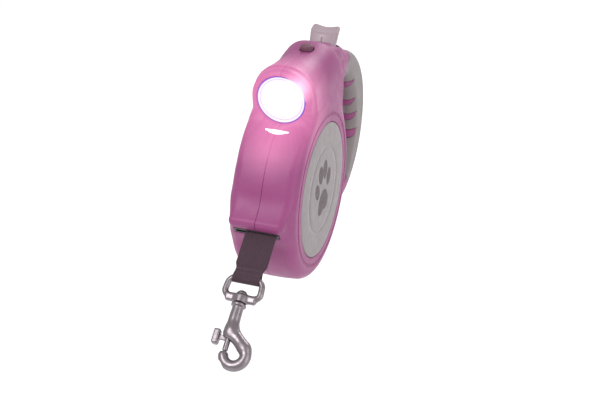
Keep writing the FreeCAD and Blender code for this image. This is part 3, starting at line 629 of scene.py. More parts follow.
def claw_field(p):
    """The four claw-shaped fins that come through the grip, in the side view."""
    y, z = p[:, 1], p[:, 2]
    found = np.full(len(p), 1e3)
    for tip_y, tip_z, top_z, heel_z in FINS:
        lift = (top_z + heel_z) / 2 - RING_Z
        root_y = HOLE_Y + HOLE_REACH * math.sqrt(1 - (lift / HOLE_HEIGHT) ** 2) - 4
        above = behind_line(y, z, (root_y, top_z), (tip_y, tip_z))
        bow_y, bow_z, bow = claw_arc((tip_y, tip_z), (root_y, heel_z))
        below = np.hypot(y - bow_y, z - bow_z) - bow
        found = np.minimum(found, np.maximum(above, below))
    return found


def claw_arc(tip, heel):
    """Centre and radius of the arc that bulges downward from a fin's tip to its heel."""
    tip, heel = np.array(tip), np.array(heel)
    chord = tip - heel
    length = np.hypot(*chord)
    bulge = 0.16 * length
    radius = (length ** 2 / 4 + bulge ** 2) / (2 * bulge)
    side = np.array([-chord[1], chord[0]]) / length
    centre = (tip + heel) / 2 + side * (radius - bulge)
    return centre[0], centre[1], radius


def grip_zone(p):
    """Negative where the soft sleeve covers the ring, with the fins left out."""
    y, z = p[:, 1], p[:, 2]
    zone = behind_line(y, z, (46.5, 32.4), (60.0, 48.0))
    zone = rmax(zone, behind_line(y, z, (58.0, 46.3), (78.0, 50.3)), 3.0)
    zone = rmax(zone, behind_line(y, z, (71.2, -50.0), (60.0, -5.4)), 2.0)
    return np.maximum(zone, -claw_field(p))


def sleeve_field(p):
    ring = ring_field(p)
    form = rmax(ring, grip_zone(p) + 0.05, 0.3)
    return np.maximum(form, -(ring + SLEEVE - 0.05))


def window_zone(p):
    """Negative in the crescent under the torch that carries the painted glow: straight behind,
    bowed in front.
    """
    x, y, z = p.T
    zone = np.maximum(y + 23.1, -25.2 + 0.042 * (x - 0.4) ** 2 - y)
    return np.maximum(np.maximum(zone, np.abs(x - 0.4) - 7.0), np.abs(z - 44) - 6)


def slot_field(p):
    """The tape's slot, with round ends."""
    q = tape_frame(p)
    a = np.abs(q[:, 0] + TAPE_MID) - (11.0 - 1.35)
    b = np.abs(q[:, 1] - 0.45)
    flat = np.hypot(np.maximum(a, 0), b) - 1.45
    return np.maximum(flat, np.abs(q[:, 2] - 30) - 12)


def rooms(p):
    """The hollows that hold the works."""
    x, y, z = p.T
    spool = np.maximum(np.hypot(y, z) - 44.5, np.abs(x) - 15.8)
    cells = block(p, (0, 8.7, 51), (12, 11.3, 13), 0)
    brake = block(p, (0, 27, 49.7), (12, 10, 11.7), 0)
    arm = block(p, (-7.5, 46, 51.5), (2.3, 10, 4.7), 0)
    spring = rod_along(p, 2, (0, 60.2), 3.3, 45.2, 49.2)
    mirror = rod_along(p, 1, (0, TORCH_Z), 12.7, TORCH_FRONT + 1, TORCH_FRONT + 14.3)
    q = tape_frame(p)
    guide = block(q, (-TAPE_MID, 0.45, 24.5), (12.0, 2.4, 6.5), 0)
    path = block(q, (-TAPE_MID, 0.45, 38), (11.0, 1.4, 20), 0)
    found = spool
    for room in (cells, brake, arm, spring, mirror, guide, path):
        found = np.minimum(found, room)
    return found


def screw_pits(p):
    y, z = p[:, 1], p[:, 2]
    found = np.full(len(p), 1e3)
    for degrees in (40, 130, 205, 270, 330):
        angle = math.radians(degrees)
        found = np.minimum(found, np.hypot(y - 42.8 * math.cos(angle), z - 42.8 * math.sin(angle)))
    return np.maximum(found - 1.9, p[:, 0] + 16.6)


def outside_field(p):
    """The whole outside: disc, dome, torch turret, hood, ring and shoulder in one skin."""
    x = p[:, 0]
    z = p[:, 2]
    dome_side = np.clip((z - 30) / 18, 0, 1)
    form = rmax(disc_core(p), np.abs(x) - HALF, 5.85 - 3.25 * dome_side)
    form = smin(form, turret_field(p), 4.5)
    form = smin(form, hood_field(p), 6.0)
    handle = smin(ring_field(p), shoulder_field(p), 3.0)
    return rmax(smin(form, handle, 3.0), np.abs(x) - HALF - 0.12, 0.4)


def door_zone(p, gap):
    """The battery door's rounded outline on the left side."""
    y = np.abs(p[:, 1] - 9.5) - (7.5 - gap - 1.2)
    z = np.abs(p[:, 2] - 55.6) - (7.0 - gap - 1.2)
    flat = np.hypot(np.maximum(y, 0), np.maximum(z, 0)) + np.minimum(np.maximum(y, z), 0) - 1.2
    return np.maximum(flat, p[:, 0] + 12.4)


def housing_field(p):
    """The pink housing with everything cut out of it."""
    x, y, z = p.T
    around = np.hypot(y, z)
    form = outside_field(p)
    for side in (-1, 1):
        form = carve(form, np.maximum(around - BADGE_R - 0.2, HALF - 1 - side * x), 0.3)
    groove = np.hypot(around - GROOVE_R, np.abs(x) - HALF) - 0.62
    form = carve(form, groove, 0.25)
    form = carve(form, rod_along(p, 1, (0, TORCH_Z), 13.2, TORCH_FRONT - 16, TORCH_FRONT), 0.5)
    form = carve(form, rod_along(p, 1, (0, TORCH_Z), LENS_R + 0.05, -20, TORCH_FRONT + 4.4), 0.3)
    pocket = block(p, (0, 57.25, 63), (8.5, 6.6, 16.3), 1.6)
    form = carve(form, pocket, 0.4)
    form = carve(form, rod_along(p, 2, SWITCH_BASE[:2], 3.75, 60, 80), 0.3)
    form = carve(form, slot_field(p), 0.7)
    form = np.maximum(form, -window_zone(p))
    form = carve(form, door_zone(p, 0), 0.35)
    form = carve(form, screw_pits(p), 0.3)
    skin = np.maximum(-(ring_field(p) + SLEEVE), grip_zone(p) - 0.05)
    form = carve(form, skin, 0.3)
    return np.maximum(form, -rooms(p))


def half_field(side):
    """One half of the housing; its edge at the seam is rounded a little."""
    return lambda p: rmax(housing_field(p), 0.02 - side * p[:, 0], 0.22)


def make_shell(name, side):
    """Half of the housing, meshed finely across the seam and along the outer skin."""
    across = places((-0.3, 0.15, 0.15), (0.15, 0.75, 0.2), (0.75, 15.3, cell), (15.3, 18.6, 0.33))
    across = np.sort(side * across)
    down = places((-60, 70, cell), (70, 92, min(cell, 0.5)), (92, 103, cell))
    up = places((-52, -26, cell), (-26, 37, min(cell, 0.6)), (37, 77, cell))
    return net_mesh(name, half_field(side), (across, down, up))


def door_field(p):
    """The battery door: the same skin as the housing, inside its outline, with a nail notch."""
    form = np.maximum(outside_field(p), -rooms(p))
    form = rmax(form, door_zone(p, 0.22), 0.35)
    notch = np.hypot(p[:, 1] - 9.4, p[:, 2] - 50.6) - 2.4
    return carve(form, np.maximum(notch, p[:, 0] + 16.2), 0.3)


BUTTON_TOP = 68.4
BUTTON_LEAN = 0.7


def button_field(p):
    """The D-shaped thumb button: it leans back, with a bowed front, a dished top and a skirt."""
    x, y, z = p.T
    sunk = BUTTON_TOP - z
    lean = y + BUTTON_LEAN * sunk
    front = np.hypot(x, lean - 55 - 17.5) - 17.5
    form = rmax(front, lean - 63, 1.6)
    form = rmax(form, np.abs(x) - (8.1 - 0.08 * sunk), 2.0)
    back = np.clip((lean - 56) / 7, 0, 1)
    dish = 67.2 + 1.2 * back ** 1.5 - 0.5 * np.cos(x * math.pi / 8.1) * back
    form = rmax(form * 0.85, z - dish, 0.9)
    form = np.maximum(form, 51 - y)
    skirt = np.maximum(behind_line(y, z, (51, 59), (63.5, 55.9)), np.abs(x) - 8.0)
    skirt = np.maximum(skirt, np.maximum(51 - y, y - 63.4))
    form = np.minimum(form, skirt)
    form = np.maximum(form, 55.5 - z)
    line = np.maximum(np.abs(x) - 0.22, lean - 55.35)
    return carve(form, np.maximum(line, z - 65), 0.15)


def eye_field(p):
    """The cast eye: a round wire frame with bowed sides, a flat lower bar and the swivel's boss."""
    x, y, z = p.T
    a = np.abs(x) - (8.75 - 3.6 + 0.08 * np.clip(-z, 0, 8))
    b = np.abs(z + 4.85) - (4.85 - 3.6 + 0.25)
    around = np.hypot(np.maximum(a, 0), np.maximum(b, 0)) + np.minimum(np.maximum(a, b), 0) - 3.6
    frame = np.hypot(around, y) - 1.6
    bar = np.where(np.abs(x) < 8, np.hypot(y, z) - 1.45, 9.0)
    frame = np.where((np.abs(x) < 6.5) & (z > -3), bar, frame)
    plate = block(p, (0, 0, -10.6), (8.0, 1.6, 2.0), 1.1)
    boss = rod_along(p, 2, (0, 0), 3.3, -12.9, -8.75, 0.7)
    form = smin(smin(frame, plate, 1.2), boss, 1.6)
    return carve(form, np.maximum(np.hypot(x, y) - 1.7, np.abs(z + 12) - 6), 0.2)


def rivet_field(p):
    """The swivel rivet's domed head, and its shank down into the barrel."""
    x, y, z = p.T
    away = np.hypot(x, y)
    head = np.sqrt(away ** 2 + ((z + 8.6) * 1.22) ** 2) - 2.9
    head = rmax(head, -8.55 - z, 0.25)
    shank = rod_along(p, 2, (0, 0), 1.6, -16.6, -8.4, 0.2)
    return np.minimum(head, shank)


HOOK_CENTRE = (5.4, -39.2)
HOOK_CURL = 5.6
HOOK_TIP, HOOK_ROOT = math.radians(-165), math.radians(50)
BARREL = smooth_table(
    [(-44, 2.5), (-31, 2.8), (-30, 3.1), (-27, 3.15), (-20, 3.0), (-16, 2.85), (-13, 2.85)],
    -44, -13, 0.5)


def hook_field(p):
    """The barrel, its flange, and the bar that swells out of it and curls round below."""
    x, y, z = p.T
    away = np.hypot(x, y)
    barrel = rmax(away - BARREL(z), np.abs(z + 22.6) - 9.0, 0.7)
    flange = rod_along(p, 2, (0, 0), 3.85, -15.0, -13.4, 0.55)
    form = smin(barrel, flange, 0.7)
    at = np.arctan2(z - HOOK_CENTRE[1], x - HOOK_CENTRE[0])
    at = np.where(at > math.radians(100), at - 2 * math.pi, at)
    held = np.clip(at, HOOK_TIP, HOOK_ROOT)
    line_x = HOOK_CENTRE[0] + HOOK_CURL * np.cos(held)
    line_z = HOOK_CENTRE[1] + HOOK_CURL * np.sin(held)
    thick = 2.6 + 0.28 * np.clip((held + 2.88) / 2.2, 0, 1)
    curl = np.sqrt((x - line_x) ** 2 + y ** 2 + (z - line_z) ** 2) - thick
    start = np.array([0.9, -27.9])
    end = np.array([
        HOOK_CENTRE[0] + HOOK_CURL * math.cos(HOOK_ROOT),
        HOOK_CENTRE[1] + HOOK_CURL * math.sin(HOOK_ROOT),
    ])
    run = end - start
    t = np.clip(((x - start[0]) * run[0] + (z - start[1]) * run[1]) / (run @ run), 0, 1)
    root = np.sqrt((x - start[0] - t * run[0]) ** 2 + y ** 2 + (z - start[1] - t * run[1]) ** 2)
    root = root - 3.3
    form = smin(form, smin(root, curl, 2.0), 3.0)
    channel = np.maximum(np.maximum(np.abs(y) - 1.2, x), np.abs(z + 25.7) - 5.3)
    form = carve(form, channel, 0.3)
    form = carve(form, np.maximum(away - 1.6, z + 29.0), 0.3)
    return np.maximum(form, -np.maximum(away - 2.05, np.abs(z + 23.0) - 5.9))


def bolt_field(p):
    """The sprung bolt: rod, collar and the thumb pad with its grip ridges."""
    x, y, z = p.T
    rod = rod_along(p, 2, (0, 0), 1.4, -38.2, -25.5, 0.4)
    collar = rod_along(p, 2, (0, 0), 1.85, -28.7, -27.3, 0.3)
    neck = block(p, (-3.2, 0, -31.9), (2.4, 0.95, 1.2), 0.3)
    pad = block(p, (-6.3, 0, -31.9), (1.85, 2.3, 4.0), 1.2)
    ridges = 0.14 * np.cos(z * 2 * math.pi / 1.5) * np.clip((-7.2 - x) / 0.6, 0, 1)
    pad = pad + 0.14 - ridges
    return np.minimum(smin(rod, neck, 0.6), np.minimum(smin(pad, neck, 0.8), collar))


def lathe(name, profile, centre, axis, steps=96):
    """A closed turned piece from (along, away) points, both in millimetres."""
    profile = np.array(profile, float)
    angle = np.arange(steps) * 2 * math.pi / steps
    count = len(profile)
    ring = np.zeros((steps, count, 3))
    u, v = [i for i in range(3) if i != axis]
    ring[:, :, axis] = centre[axis] + profile[None, :, 0]
    ring[:, :, u] = centre[u] + profile[None, :, 1] * np.cos(angle)[:, None]
    ring[:, :, v] = centre[v] + profile[None, :, 1] * np.sin(angle)[:, None]
    mesh = bmesh.new()
    rows = [[mesh.verts.new(to_row(point)) for point in row] for row in ring]
    for i in range(steps):
        for j in range(count - 1):
            mesh.faces.new((rows[i][j], rows[i][j + 1], rows[(i + 1) % steps][j + 1],
                            rows[(i + 1) % steps][j]))
    bmesh.ops.remove_doubles(mesh, verts=mesh.verts, dist=1e-7)
    bmesh.ops.recalc_face_normals(mesh, faces=mesh.faces)
    data = bpy.data.meshes.new(name)
    mesh.to_mesh(data)
    mesh.free()
    data.polygons.foreach_set("use_smooth", np.ones(len(data.polygons), bool))
    piece = bpy.data.objects.new(name, data)
    bpy.context.scene.collection.objects.link(piece)
    return piece


def make_lens():
    """A shallow domed window with a thin raised rim and a fine step inside it."""
    front = TORCH_FRONT + 0.5
    dome = [(0.9 - 0.9 * math.cos(t * 1.15), 11.6 * math.sin(t * 1.15) / math.sin(1.15))
            for t in np.linspace(0, 1, 22)]
    sag = dome[-1][0]
    face = [(0.35 + 0.4 * (a / sag), r) for a, r in dome]
    rim = [(0.85, 11.75), (0.85, 11.95), (0.45, 12.15), (0.3, 12.5), (0.32, 12.85),
           (0.55, 13.05), (0.9, 13.15), (2.1, 13.15), (2.1, 12.0)]
    profile = [(0.35, 0.0)] + face[1:] + rim + [(2.1, 0.0)]
    return lathe("lens", profile, (0, front, TORCH_Z), 1, 128)


def make_switch_cap():
    """A rubber dome on a short stem, softly rounded over its edge."""
    edge = [(1.6 + 1.1 * math.sin(t), 2.3 + 1.0 * math.cos(t)) for t in np.linspace(0, 1.45, 9)]
    profile = [(-8.8, 0), (-8.8, 3.3), (-0.3, 3.3), (0.0, 3.5), (0.5, 3.5), (1.6, 3.3)]
    crown = [(2.75, 1.6), (2.81, 0.8), (2.83, 0.0)]
    return lathe("switch_dome", profile + edge[1:] + crown, SWITCH_BASE, 2, 72)


def make_tape():
    """The woven tape: one long strip that comes out of the slot, loops the eye's bar and is
    folded back over itself. Returns the piece and its flat length and area."""
    thick = 0.86
    mid = thick / 2
    turn = 2.2
    route = [(0.45, 69.0), (0.45, 6.5), (0.47, 4.4), (0.75, 3.0), (1.55, 2.0)]
    route += [(turn * math.cos(t), turn * math.sin(t))
              for t in np.linspace(0.55, -math.pi - 0.55, 19)]
    route += [(-1.5, 2.1), (-0.72, 3.0), (-0.46, 4.4), (-0.46, 6.0)]
    route = np.array(route)
    lengths = np.concatenate([[0], np.cumsum(np.hypot(*np.diff(route, axis=0).T))])
    total = lengths[-1]
    count = int(total / 0.45)
    at = np.linspace(0, total, count + 1)
    line = np.stack([np.interp(at, lengths, route[:, i]) for i in (0, 1)], 1)
    for _ in range(3):
        line[1:-1] = 0.25 * line[:-2] + 0.5 * line[1:-1] + 0.25 * line[2:]
    along = np.gradient(line, axis=0)
    along /= np.linalg.norm(along, axis=1)[:, None]
    out = np.stack([-along[:, 1], along[:, 0]], 1)
    half = np.interp(line[:, 1], [5.2, 8], [7.15, 8.4])
    half = np.where(at > lengths[3], 7.15, half)
    ribs = 12
    angle = np.linspace(-math.pi / 2, math.pi / 2, 5)
    edge_u = np.concatenate([1 - 0.045 * (1 - np.cos(angle))])
    edge_v = np.sin(angle)
    flat = np.linspace(0.91, -0.91, ribs * 2)
    ring_u = np.concatenate([edge_u, flat, -edge_u[::-1], -flat])
    ring_v = np.concatenate([edge_v, np.ones(len(flat)), edge_v[::-1], -np.ones(len(flat))])
    weave = 1 - 0.10 * np.abs(np.sin(ring_u * math.pi * 9)) * (np.abs(ring_u) < 0.93)
    across = half[:, None] * ring_u[None, :]
    depth = mid * ring_v[None, :] * weave[None, :]
    points = np.stack([
        across,
        line[:, :1] + out[:, :1] * depth,
        line[:, 1:] + out[:, 1:] * depth,
    ], -1)
    rows, columns = points.shape[:2]
    index = np.arange(rows * columns).reshape(rows, columns)
    nxt = np.roll(index, -1, axis=1)
    quads = np.stack([index[:-1], index[1:], nxt[1:], nxt[:-1]], -1).reshape(-1, 4)
    piece = quad_object("tape_webbing", to_row(from_tape_frame(points.reshape(-1, 3))), quads)
    cap = bmesh.new()
    cap.from_mesh(piece.data)
    bmesh.ops.holes_fill(cap, edges=[e for e in cap.edges if e.is_boundary], sides=0)
    bmesh.ops.triangulate(cap, faces=[f for f in cap.faces if len(f.verts) > 4])
    bmesh.ops.recalc_face_normals(cap, faces=cap.faces)
    cap.to_mesh(piece.data)
    cap.free()
    step = np.diff(at)
    area = float((2 * half[:-1] * step).sum())
    return piece, total, area


def make_stitches():
    """Two rows of raised thread across the fold, each stitch a short bent capsule."""
    mesh = bmesh.new()
    for row_z in (3.7, 5.0):
        for index in range(8):
            x = -6.0 + 12.0 / 7 * index
            made = bmesh.ops.create_icosphere(mesh, subdivisions=2, radius=1)
            for vert in made["verts"]:
                a, b, c = vert.co
                drop = 0.16 * a * a
                spot = (x + 0.72 * a, -0.86 - 0.12 * b + drop - 0.02, row_z + 0.22 * c + 0.1 * a)
                vert.co = to_row(from_tape_frame([spot]))[0]
    bmesh.ops.recalc_face_normals(mesh, faces=mesh.faces)
    data = bpy.data.meshes.new("tape_thread")
    mesh.to_mesh(data)
    mesh.free()
    data.polygons.foreach_set("use_smooth", np.ones(len(data.polygons), bool))
    piece = bpy.data.objects.new("tape_thread", data)
    bpy.context.scene.collection.objects.link(piece)
    return piece


BADGE_FACE = HALF + 0.1


def make_badge(side, name):
    """The badge: a faintly domed disc with a soft rim and one fine ring cut into its face."""
    ring_at = 0.64 * BADGE_R
    rim = [(HALF - 0.95, BADGE_R - 0.1), (HALF - 0.35, BADGE_R)]
    rim += [(BADGE_FACE - 0.45 + 0.35 * math.sin(t), BADGE_R - 0.5 + 0.5 * math.cos(t))
            for t in np.linspace(0, 1.4, 7)]
    face = [(BADGE_FACE - 0.06, BADGE_R - 2.0), (BADGE_FACE - 0.02, ring_at + 4),
            (BADGE_FACE, ring_at + 0.4), (BADGE_FACE - 0.05, ring_at + 0.22),
            (BADGE_FACE - 0.22, ring_at), (BADGE_FACE - 0.05, ring_at - 0.22),
            (BADGE_FACE, ring_at - 0.4), (BADGE_FACE, ring_at - 4), (BADGE_FACE, 0.0)]
    profile = [(HALF - 0.95, 0.0)] + rim + face
    return lathe(name, [(side * x, away) for x, away in profile], (0, 0, 0), 0, 160)


MARK_SCALE = 1.35


def print_field(side):
    """A plain paw mark, a hair proud of the badge: four toes and a pad."""
    def field(p):
        x, y, z = p.T
        across = -side * y / MARK_SCALE
        up = z / MARK_SCALE
        toes = ((-7.2, 2.6, 2.5, 3.7, 0.35), (-2.7, 8.0, 2.6, 4.0, 0.1),
                (2.7, 8.0, 2.6, 4.0, -0.1), (7.2, 2.6, 2.5, 3.7, -0.35))
        flat = np.full(len(p), 1e3)
        for cx, cz, rx, rz, lean in toes:
            a = (across - cx) * math.cos(lean) + (up - cz) * math.sin(lean)
            b = -(across - cx) * math.sin(lean) + (up - cz) * math.cos(lean)
            size = np.hypot(a / rx, b / rz) + 1e-6
            steep = np.hypot(a / rx ** 2, b / rz ** 2) / size + 1e-6
            flat = np.minimum(flat, (size - 1) / steep)
        pad = np.hypot(across, (up + 4.6) * 1.15) - 5.0
        lobes = np.hypot(np.abs(across) - 3.4, up + 7.0) - 2.9
        flat = np.minimum(flat, smin(pad, lobes, 2.2)) * MARK_SCALE
        return rmax(flat, np.abs(side * x - BADGE_FACE - 0.01) - 0.06, 0.05)
    return field


# ------------------------------------------------------------------ the finishes

# Centres of painted light: the lens, the painted flare above right of it and the painted pool of
# light on the chin below it.
LENS_SPOT = tuple(to_row((0, TORCH_FRONT, TORCH_Z)))
FLARE_SPOT = tuple(to_row((8.5, TORCH_FRONT + 2, TORCH_Z + 7.5)))
PAINTED_POOL_SPOT = tuple(to_row((-1, -33, 37)))


def pink_plastic():
    """Pink moulded plastic; round the torch it glows with painted light, as if lit from within: an
    emitted glow with faint rays, a near-white painted flare above right of the lens and a painted
    pool of light on the chin.
    """
    mat = new_material("pink_plastic")
    n = Nodes(mat)
    at = n.place()
    mottle = n.math("ADD", n.math("MULTIPLY", n.noise(45, 2), 0.5),
                    n.math("MULTIPLY", n.noise(1100, 3), 0.5))
    base = n.ramp(mottle, [(0.3, (0.246, 0.046, 0.157)), (0.7, (0.276, 0.056, 0.177))])
    n.feed("Base Color", base)
    n.feed("Roughness", n.remap(n.noise(160, 3), 0.3, 0.7, 0.40, 0.50))
    grain = n.bump(n.noise(2200, 2), 0.00006)
    n.feed("Normal", n.bump(n.noise(90, 2), 0.00006, below=grain))
    n.fix("Specular IOR Level", 0.35)

    # Painted glow: emission that fades with distance from the lens, so the shell shines round the
    # torch though it is no lamp.
    away = n.distance(at, LENS_SPOT)
    glow = n.remap(away, 0.012, 0.040, 1.0, 0.0)
    glow = n.math("POWER", glow, 1.6)
    # Painted rays: the glow broken into faint streaks by angle round the lens.
    offset = n.tree.nodes.new("ShaderNodeVectorMath")
    offset.operation = "SUBTRACT"
    n.link(at, offset.inputs[0])
    offset.inputs[1].default_value = LENS_SPOT
    split = n.tree.nodes.new("ShaderNodeSeparateXYZ")
    n.link(offset.outputs[0], split.inputs[0])
    angle = n.math("ARCTAN2", split.outputs["Z"], split.outputs["X"])
    turn = n.tree.nodes.new("ShaderNodeCombineXYZ")
    n.link(angle, turn.inputs["X"])
    rays = n.noise(7.0, 4, 0.7, at=turn.outputs[0])
    rays = n.remap(rays, 0.35, 0.7, 0.86, 1.14)
    glow = n.math("MULTIPLY", glow, rays)
    # Painted flare: a near-white emitted highlight above right of the lens, which also whitens the
    # emitted colour.
    flare = n.remap(n.distance(at, FLARE_SPOT), 0.001, 0.0105, 1.0, 0.0)
    flare = n.math("MULTIPLY", n.math("POWER", flare, 1.5), 1.0)
    pink = n.tree.nodes.new("ShaderNodeMix")
    pink.data_type = "RGBA"
    pink.inputs["A"].default_value = (1.0, 0.32, 0.56, 1)
    pink.inputs["B"].default_value = (1.0, 0.88, 0.97, 1)
    n.link(n.math("MINIMUM", flare, 1.0), pink.inputs["Factor"])
    n.feed("Emission Color", pink.outputs["Result"])
    # Painted pool of light: emission on the chin below the lens, where the torch's beam falls.
    painted_pool = n.remap(n.distance(at, PAINTED_POOL_SPOT), 0.003, 0.019, 1.0, 0.0)
    painted_pool = n.math("MULTIPLY", n.math("POWER", painted_pool, 1.3), 0.23)
    glow = n.math("ADD", n.math("MULTIPLY", glow, 0.5), painted_pool)
    n.feed("Emission Strength", n.math("ADD", glow, flare))
    return mat


def lens_light():
    """The lit lens, emitting as the torch's lamp: white inside with a lilac line near its edge, a
    violet rim painted as the colour fringe of the glare, and a painted bloom towards the flare
    spot.
    """
    mat = new_material("lit_lens")
    n = Nodes(mat)
    at = n.place()
    flat = n.tree.nodes.new("ShaderNodeVectorMath")
    flat.operation = "MULTIPLY"
    n.link(at, flat.inputs[0])
    flat.inputs[1].default_value = (1, 0, 1)
    middle = (LENS_SPOT[0], 0, LENS_SPOT[2])
    away = n.distance(flat.outputs[0], middle)
    # The violet at the outer edge is a painted colour fringe of the glare.
    rings = n.ramp(n.remap(away, 0, 0.0133, 0, 1), [
        (0.0, (1, 1, 1)), (0.82, (1, 0.98, 1)), (0.85, (0.74, 0.52, 0.88)),
        (0.875, (1, 0.97, 1)), (0.925, (1, 0.93, 1)), (0.955, (0.22, 0.07, 0.62)),
    ])
    haze = n.ramp(n.noise(260, 4, 0.6), [(0.35, (0.97, 0.93, 0.98)), (0.6, (1, 1, 1))])
    blend = n.tree.nodes.new("ShaderNodeMix")
    blend.data_type = "RGBA"
    blend.blend_type = "MULTIPLY"
    blend.inputs["Factor"].default_value = 1
    n.link(rings, blend.inputs["A"])
    n.link(haze, blend.inputs["B"])
    # Painted bloom: the emission turns white near the flare spot.
    bloom = n.tree.nodes.new("ShaderNodeMix")
    bloom.data_type = "RGBA"
    bloom.inputs["B"].default_value = (1, 1, 1, 1)
    n.link(blend.outputs["Result"], bloom.inputs["A"])
    n.link(n.remap(n.distance(at, FLARE_SPOT), 0.004, 0.0085, 1, 0), bloom.inputs["Factor"])
    n.feed("Emission Color", bloom.outputs["Result"])
    n.fix("Emission Strength", 1.0)
    n.fix("Base Color", (0.03, 0.02, 0.04, 1))
    n.feed("Roughness", n.remap(n.noise(500, 2), 0.3, 0.7, 0.08, 0.16))
    return mat


def crescent_painted_light():
    """The crescent under the torch, glowing with painted light where the torch's beam falls on the
    chin: white with a violet fringe.
    """
    mat = new_material("painted_crescent_glow")
    n = Nodes(mat)
    n.feed("Emission Color", n.ramp(n.noise(400, 3), [(0.3, (0.93, 0.86, 1)), (0.6, (1, 0.98, 1))]))
    n.fix("Emission Strength", 1.15)
    n.fix("Base Color", (0.5, 0.4, 0.6, 1))
    n.feed("Roughness", n.remap(n.noise(600, 2), 0.3, 0.7, 0.2, 0.3))
    return mat


def webbing():
    """Dark plum webbing: a fine plain weave with a little fuzz and lighter edges."""
    mat = new_material("webbing")
    n = Nodes(mat)
    at = n.tape_place()
    split = n.tree.nodes.new("ShaderNodeSeparateXYZ")
    n.link(at, split.inputs[0])
    wide = n.math("SINE", n.math("MULTIPLY", split.outputs["X"], 2 * math.pi / 0.00095))
    long = n.math("SINE", n.math("MULTIPLY", split.outputs["Z"], 2 * math.pi / 0.0011))
    weave = n.math("MULTIPLY", wide, long)
    height = n.math("ADD", n.remap(weave, -1, 1, 0, 1), n.math("MULTIPLY", n.noise(3000, 3), 0.5))
    colour = n.ramp(n.math("MULTIPLY", height, 0.66), [
        (0.15, (0.028, 0.010, 0.019)), (0.55, (0.047, 0.020, 0.033)), (0.9, (0.07, 0.036, 0.053))])
    n.feed("Base Color", colour)
    n.feed("Roughness", n.remap(n.noise(900, 3), 0.3, 0.7, 0.72, 0.9))
    n.feed("Normal", n.bump(height, 0.00014))
    n.fix("Sheen Weight", 0.2)
    n.fix("Sheen Roughness", 0.45)
    n.fix("Sheen Tint", (0.9, 0.7, 0.82, 1))
    return mat


def wound(name, colour, axis_scale):
    """Wound layers seen edge on: fine rings about the axle."""
    mat = new_material(name)
    n = Nodes(mat)
    away = n.distance(n.flat_place((0, 1, 1)), (0, AXLE[1] / 1000, AXLE[2] / 1000))
    ring = n.math("SINE", n.math("MULTIPLY", away, 2 * math.pi / axis_scale))
    height = n.math("ADD", n.remap(ring, -1, 1, 0, 1), n.math("MULTIPLY", n.noise(1500, 3), 0.4))
    dark = tuple(c * 0.6 for c in colour)
    n.feed("Base Color", n.ramp(n.math("MULTIPLY", height, 0.7), [(0.1, dark), (0.8, colour)]))
    n.feed("Normal", n.bump(height, 0.0001))
    n.feed("Roughness", n.remap(n.noise(500, 2), 0.3, 0.7, 0.6, 0.8))
    return mat


add_camera()
add_stage()

cell = 0.7
fine = 0.3

pink = pink_plastic()
grip = moulded("grip_rubber", (0.19, 0.161, 0.164), 0.52, 0.00005, 0, 0.05, 1500)
badge_paint = moulded("badge_white", (0.175, 0.143, 0.152), 0.38, 0.00003, 0.1, 0.03, 2200)
ink = moulded("print_ink", (0.06, 0.035, 0.045), 0.5, 0.00003, 0, 0.15, 2500)
button_paint = moulded("button_grey", (0.315, 0.24, 0.275), 0.4, 0.00004, 0, 0.04, 1800)
cap_rubber = moulded("switch_rubber", (0.12, 0.037, 0.066), 0.6, 0.00006, 0, 0.12, 1600)
nickel = metal("nickel", (0.25, 0.218, 0.235), 0.34)
steel = metal("bright_steel", (0.62, 0.61, 0.60), 0.22)
dull_steel = metal("spring_steel", (0.42, 0.42, 0.44), 0.3)
cell_case = metal("cell_steel", (0.66, 0.65, 0.62), 0.2)
brass = metal("contact_brass", (0.72, 0.52, 0.24), 0.28)
chrome = metal("reflector_chrome", (0.82, 0.82, 0.84), 0.1)
black = moulded("black_plastic", (0.025, 0.024, 0.026), 0.45)
dark_seal = moulded("dark_rubber", (0.03, 0.028, 0.03), 0.7)
natural = moulded("natural_plastic", (0.62, 0.60, 0.55), 0.42)
board_green = moulded("board_green", (0.03, 0.16, 0.07), 0.35, 0.00003)
led_yellow = moulded("led_yellow", (0.75, 0.62, 0.12), 0.3)
cloth = webbing()
thread = moulded("thread", (0.10, 0.06, 0.08), 0.8, 0.00012, 0, 0.3, 4000)
rolled = wound("wound_tape", (0.07, 0.042, 0.055), 0.0009)
coiled = wound("wound_steel", (0.40, 0.40, 0.42), 0.00105)


def finish_piece(piece, mat, body, replaced=()):
    piece.data.materials.clear()
    piece.data.materials.append(mat)
    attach(piece, body)
    if replaced:
        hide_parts(*replaced)
    return piece


for side, hand in ((1, "right"), (-1, "left")):
    finish_piece(make_shell("housing_" + hand, side), pink, "housing",
                 ["shell_" + hand])
grip_cell = 0.45
finish_piece(
    net_mesh("grip_skin", sleeve_field, (
        places((-13, 13, grip_cell)), places((46, 103, grip_cell)), places((-38, 57, grip_cell)))),
    grip, "housing", ["grip_sleeve"])
finish_piece(
    net_mesh("door_cover", door_field, (
        places((-18.6, -11, 0.35)), places((1, 18, 0.45)), places((47, 64, 0.45)))),
    pink, "cell_door", ["battery_door"])
finish_piece(make_lens(), lens_light(), "housing", ["torch_lens"])


# The crescent of the chin that is given the painted glow.
def window_field(p):
    return rmax(disc_core(p), window_zone(p) + 0.06, 0.2)


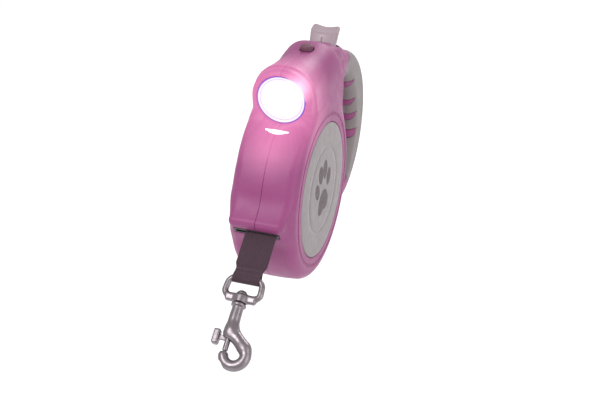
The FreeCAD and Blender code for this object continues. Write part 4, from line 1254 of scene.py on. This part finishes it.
finish_piece(
    net_mesh("chin_painted_glow", window_field, (
        places((-8.2, 8.2, 0.3)), places((-27, -16, 0.25)), places((41.5, 49.5, 0.25)))),
    crescent_painted_light(), "housing", ["glow_window"])
finish_piece(
    net_mesh("thumb_button", button_field, (
        places((-9, 9, 0.32)), places((50.5, 64, 0.32)), places((55.1, 69.3, 0.32)))),
    button_paint, "brake", ["brake_button"])
finish_piece(make_switch_cap(), cap_rubber, "light_switch", ["switch_cap"])


def cast_piece(name, field, spans, step, body, node):
    """A plated casting of the snap, meshed in the tape's frame."""
    grid = tuple(places((low, high, step)) for low, high in spans)
    piece = net_mesh(name, field, grid, lambda points: to_row(from_tape_frame(points)))
    finish_piece(piece, nickel, body, [node])


cast_piece("eye_casting", eye_field, ((-11, 11), (-3.7, 3.7), (-13.2, 2.2)), fine,
           "eye", "swivel_eye")
cast_piece("rivet_head", rivet_field, ((-3.3, 3.3), (-3.3, 3.3), (-17, -5.8)), 0.25,
           "hook", "swivel_rivet")
cast_piece("hook_casting", hook_field, ((-4.3, 14.6), (-4.2, 4.2), (-48.4, -13)), fine,
           "hook", "snap_hook")
cast_piece("bolt_slider", bolt_field, ((-8.7, 2.3), (-2.7, 2.7), (-38.7, -25)), 0.25,
           "bolt", "snap_bolt")

tape_piece, tape_length, tape_area = make_tape()
finish_piece(tape_piece, cloth, "tape_end", ["tape"])
thread_piece = finish_piece(make_stitches(), thread, "tape_end", ["tape_stitches"])
for side, name in ((1, "badge_disc_right"), (-1, "badge_disc_left")):
    finish_piece(make_badge(side, name), badge_paint, "housing",
                 [name.replace("_disc", "")])
for side, name in ((1, "badge_mark_right"), (-1, "badge_mark_left")):
    finish_piece(
        net_mesh(name, print_field(side), (
            np.sort(side * places((17.9, 18.3, 0.045))), places((-14, 14, 0.35)),
            places((-15.5, 17, 0.35)))),
        ink, "housing")

FINISHES = {
    "lens_gasket": dark_seal,
    "torch_reflector": chrome, "led_board": board_green, "led_emitter": led_yellow,
    "button_cells": cell_case, "cell_holder": black, "cell_contacts": brass,
    "switch_module": black, "spool_axle": steel, "shell_screws": steel, "tape_guide": black,
    "spool_drum": natural, "ratchet_wheel": natural, "tape_roll": rolled, "spring_cup": black,
    "spring_lid": black, "mainspring": coiled, "brake_pawl": natural, "brake_spring": dull_steel,
    "bolt_spring": dull_steel,
}
for node_name, mat in FINISHES.items():
    for material_slot in nodes[node_name].material_slots:
        material_slot.material = mat
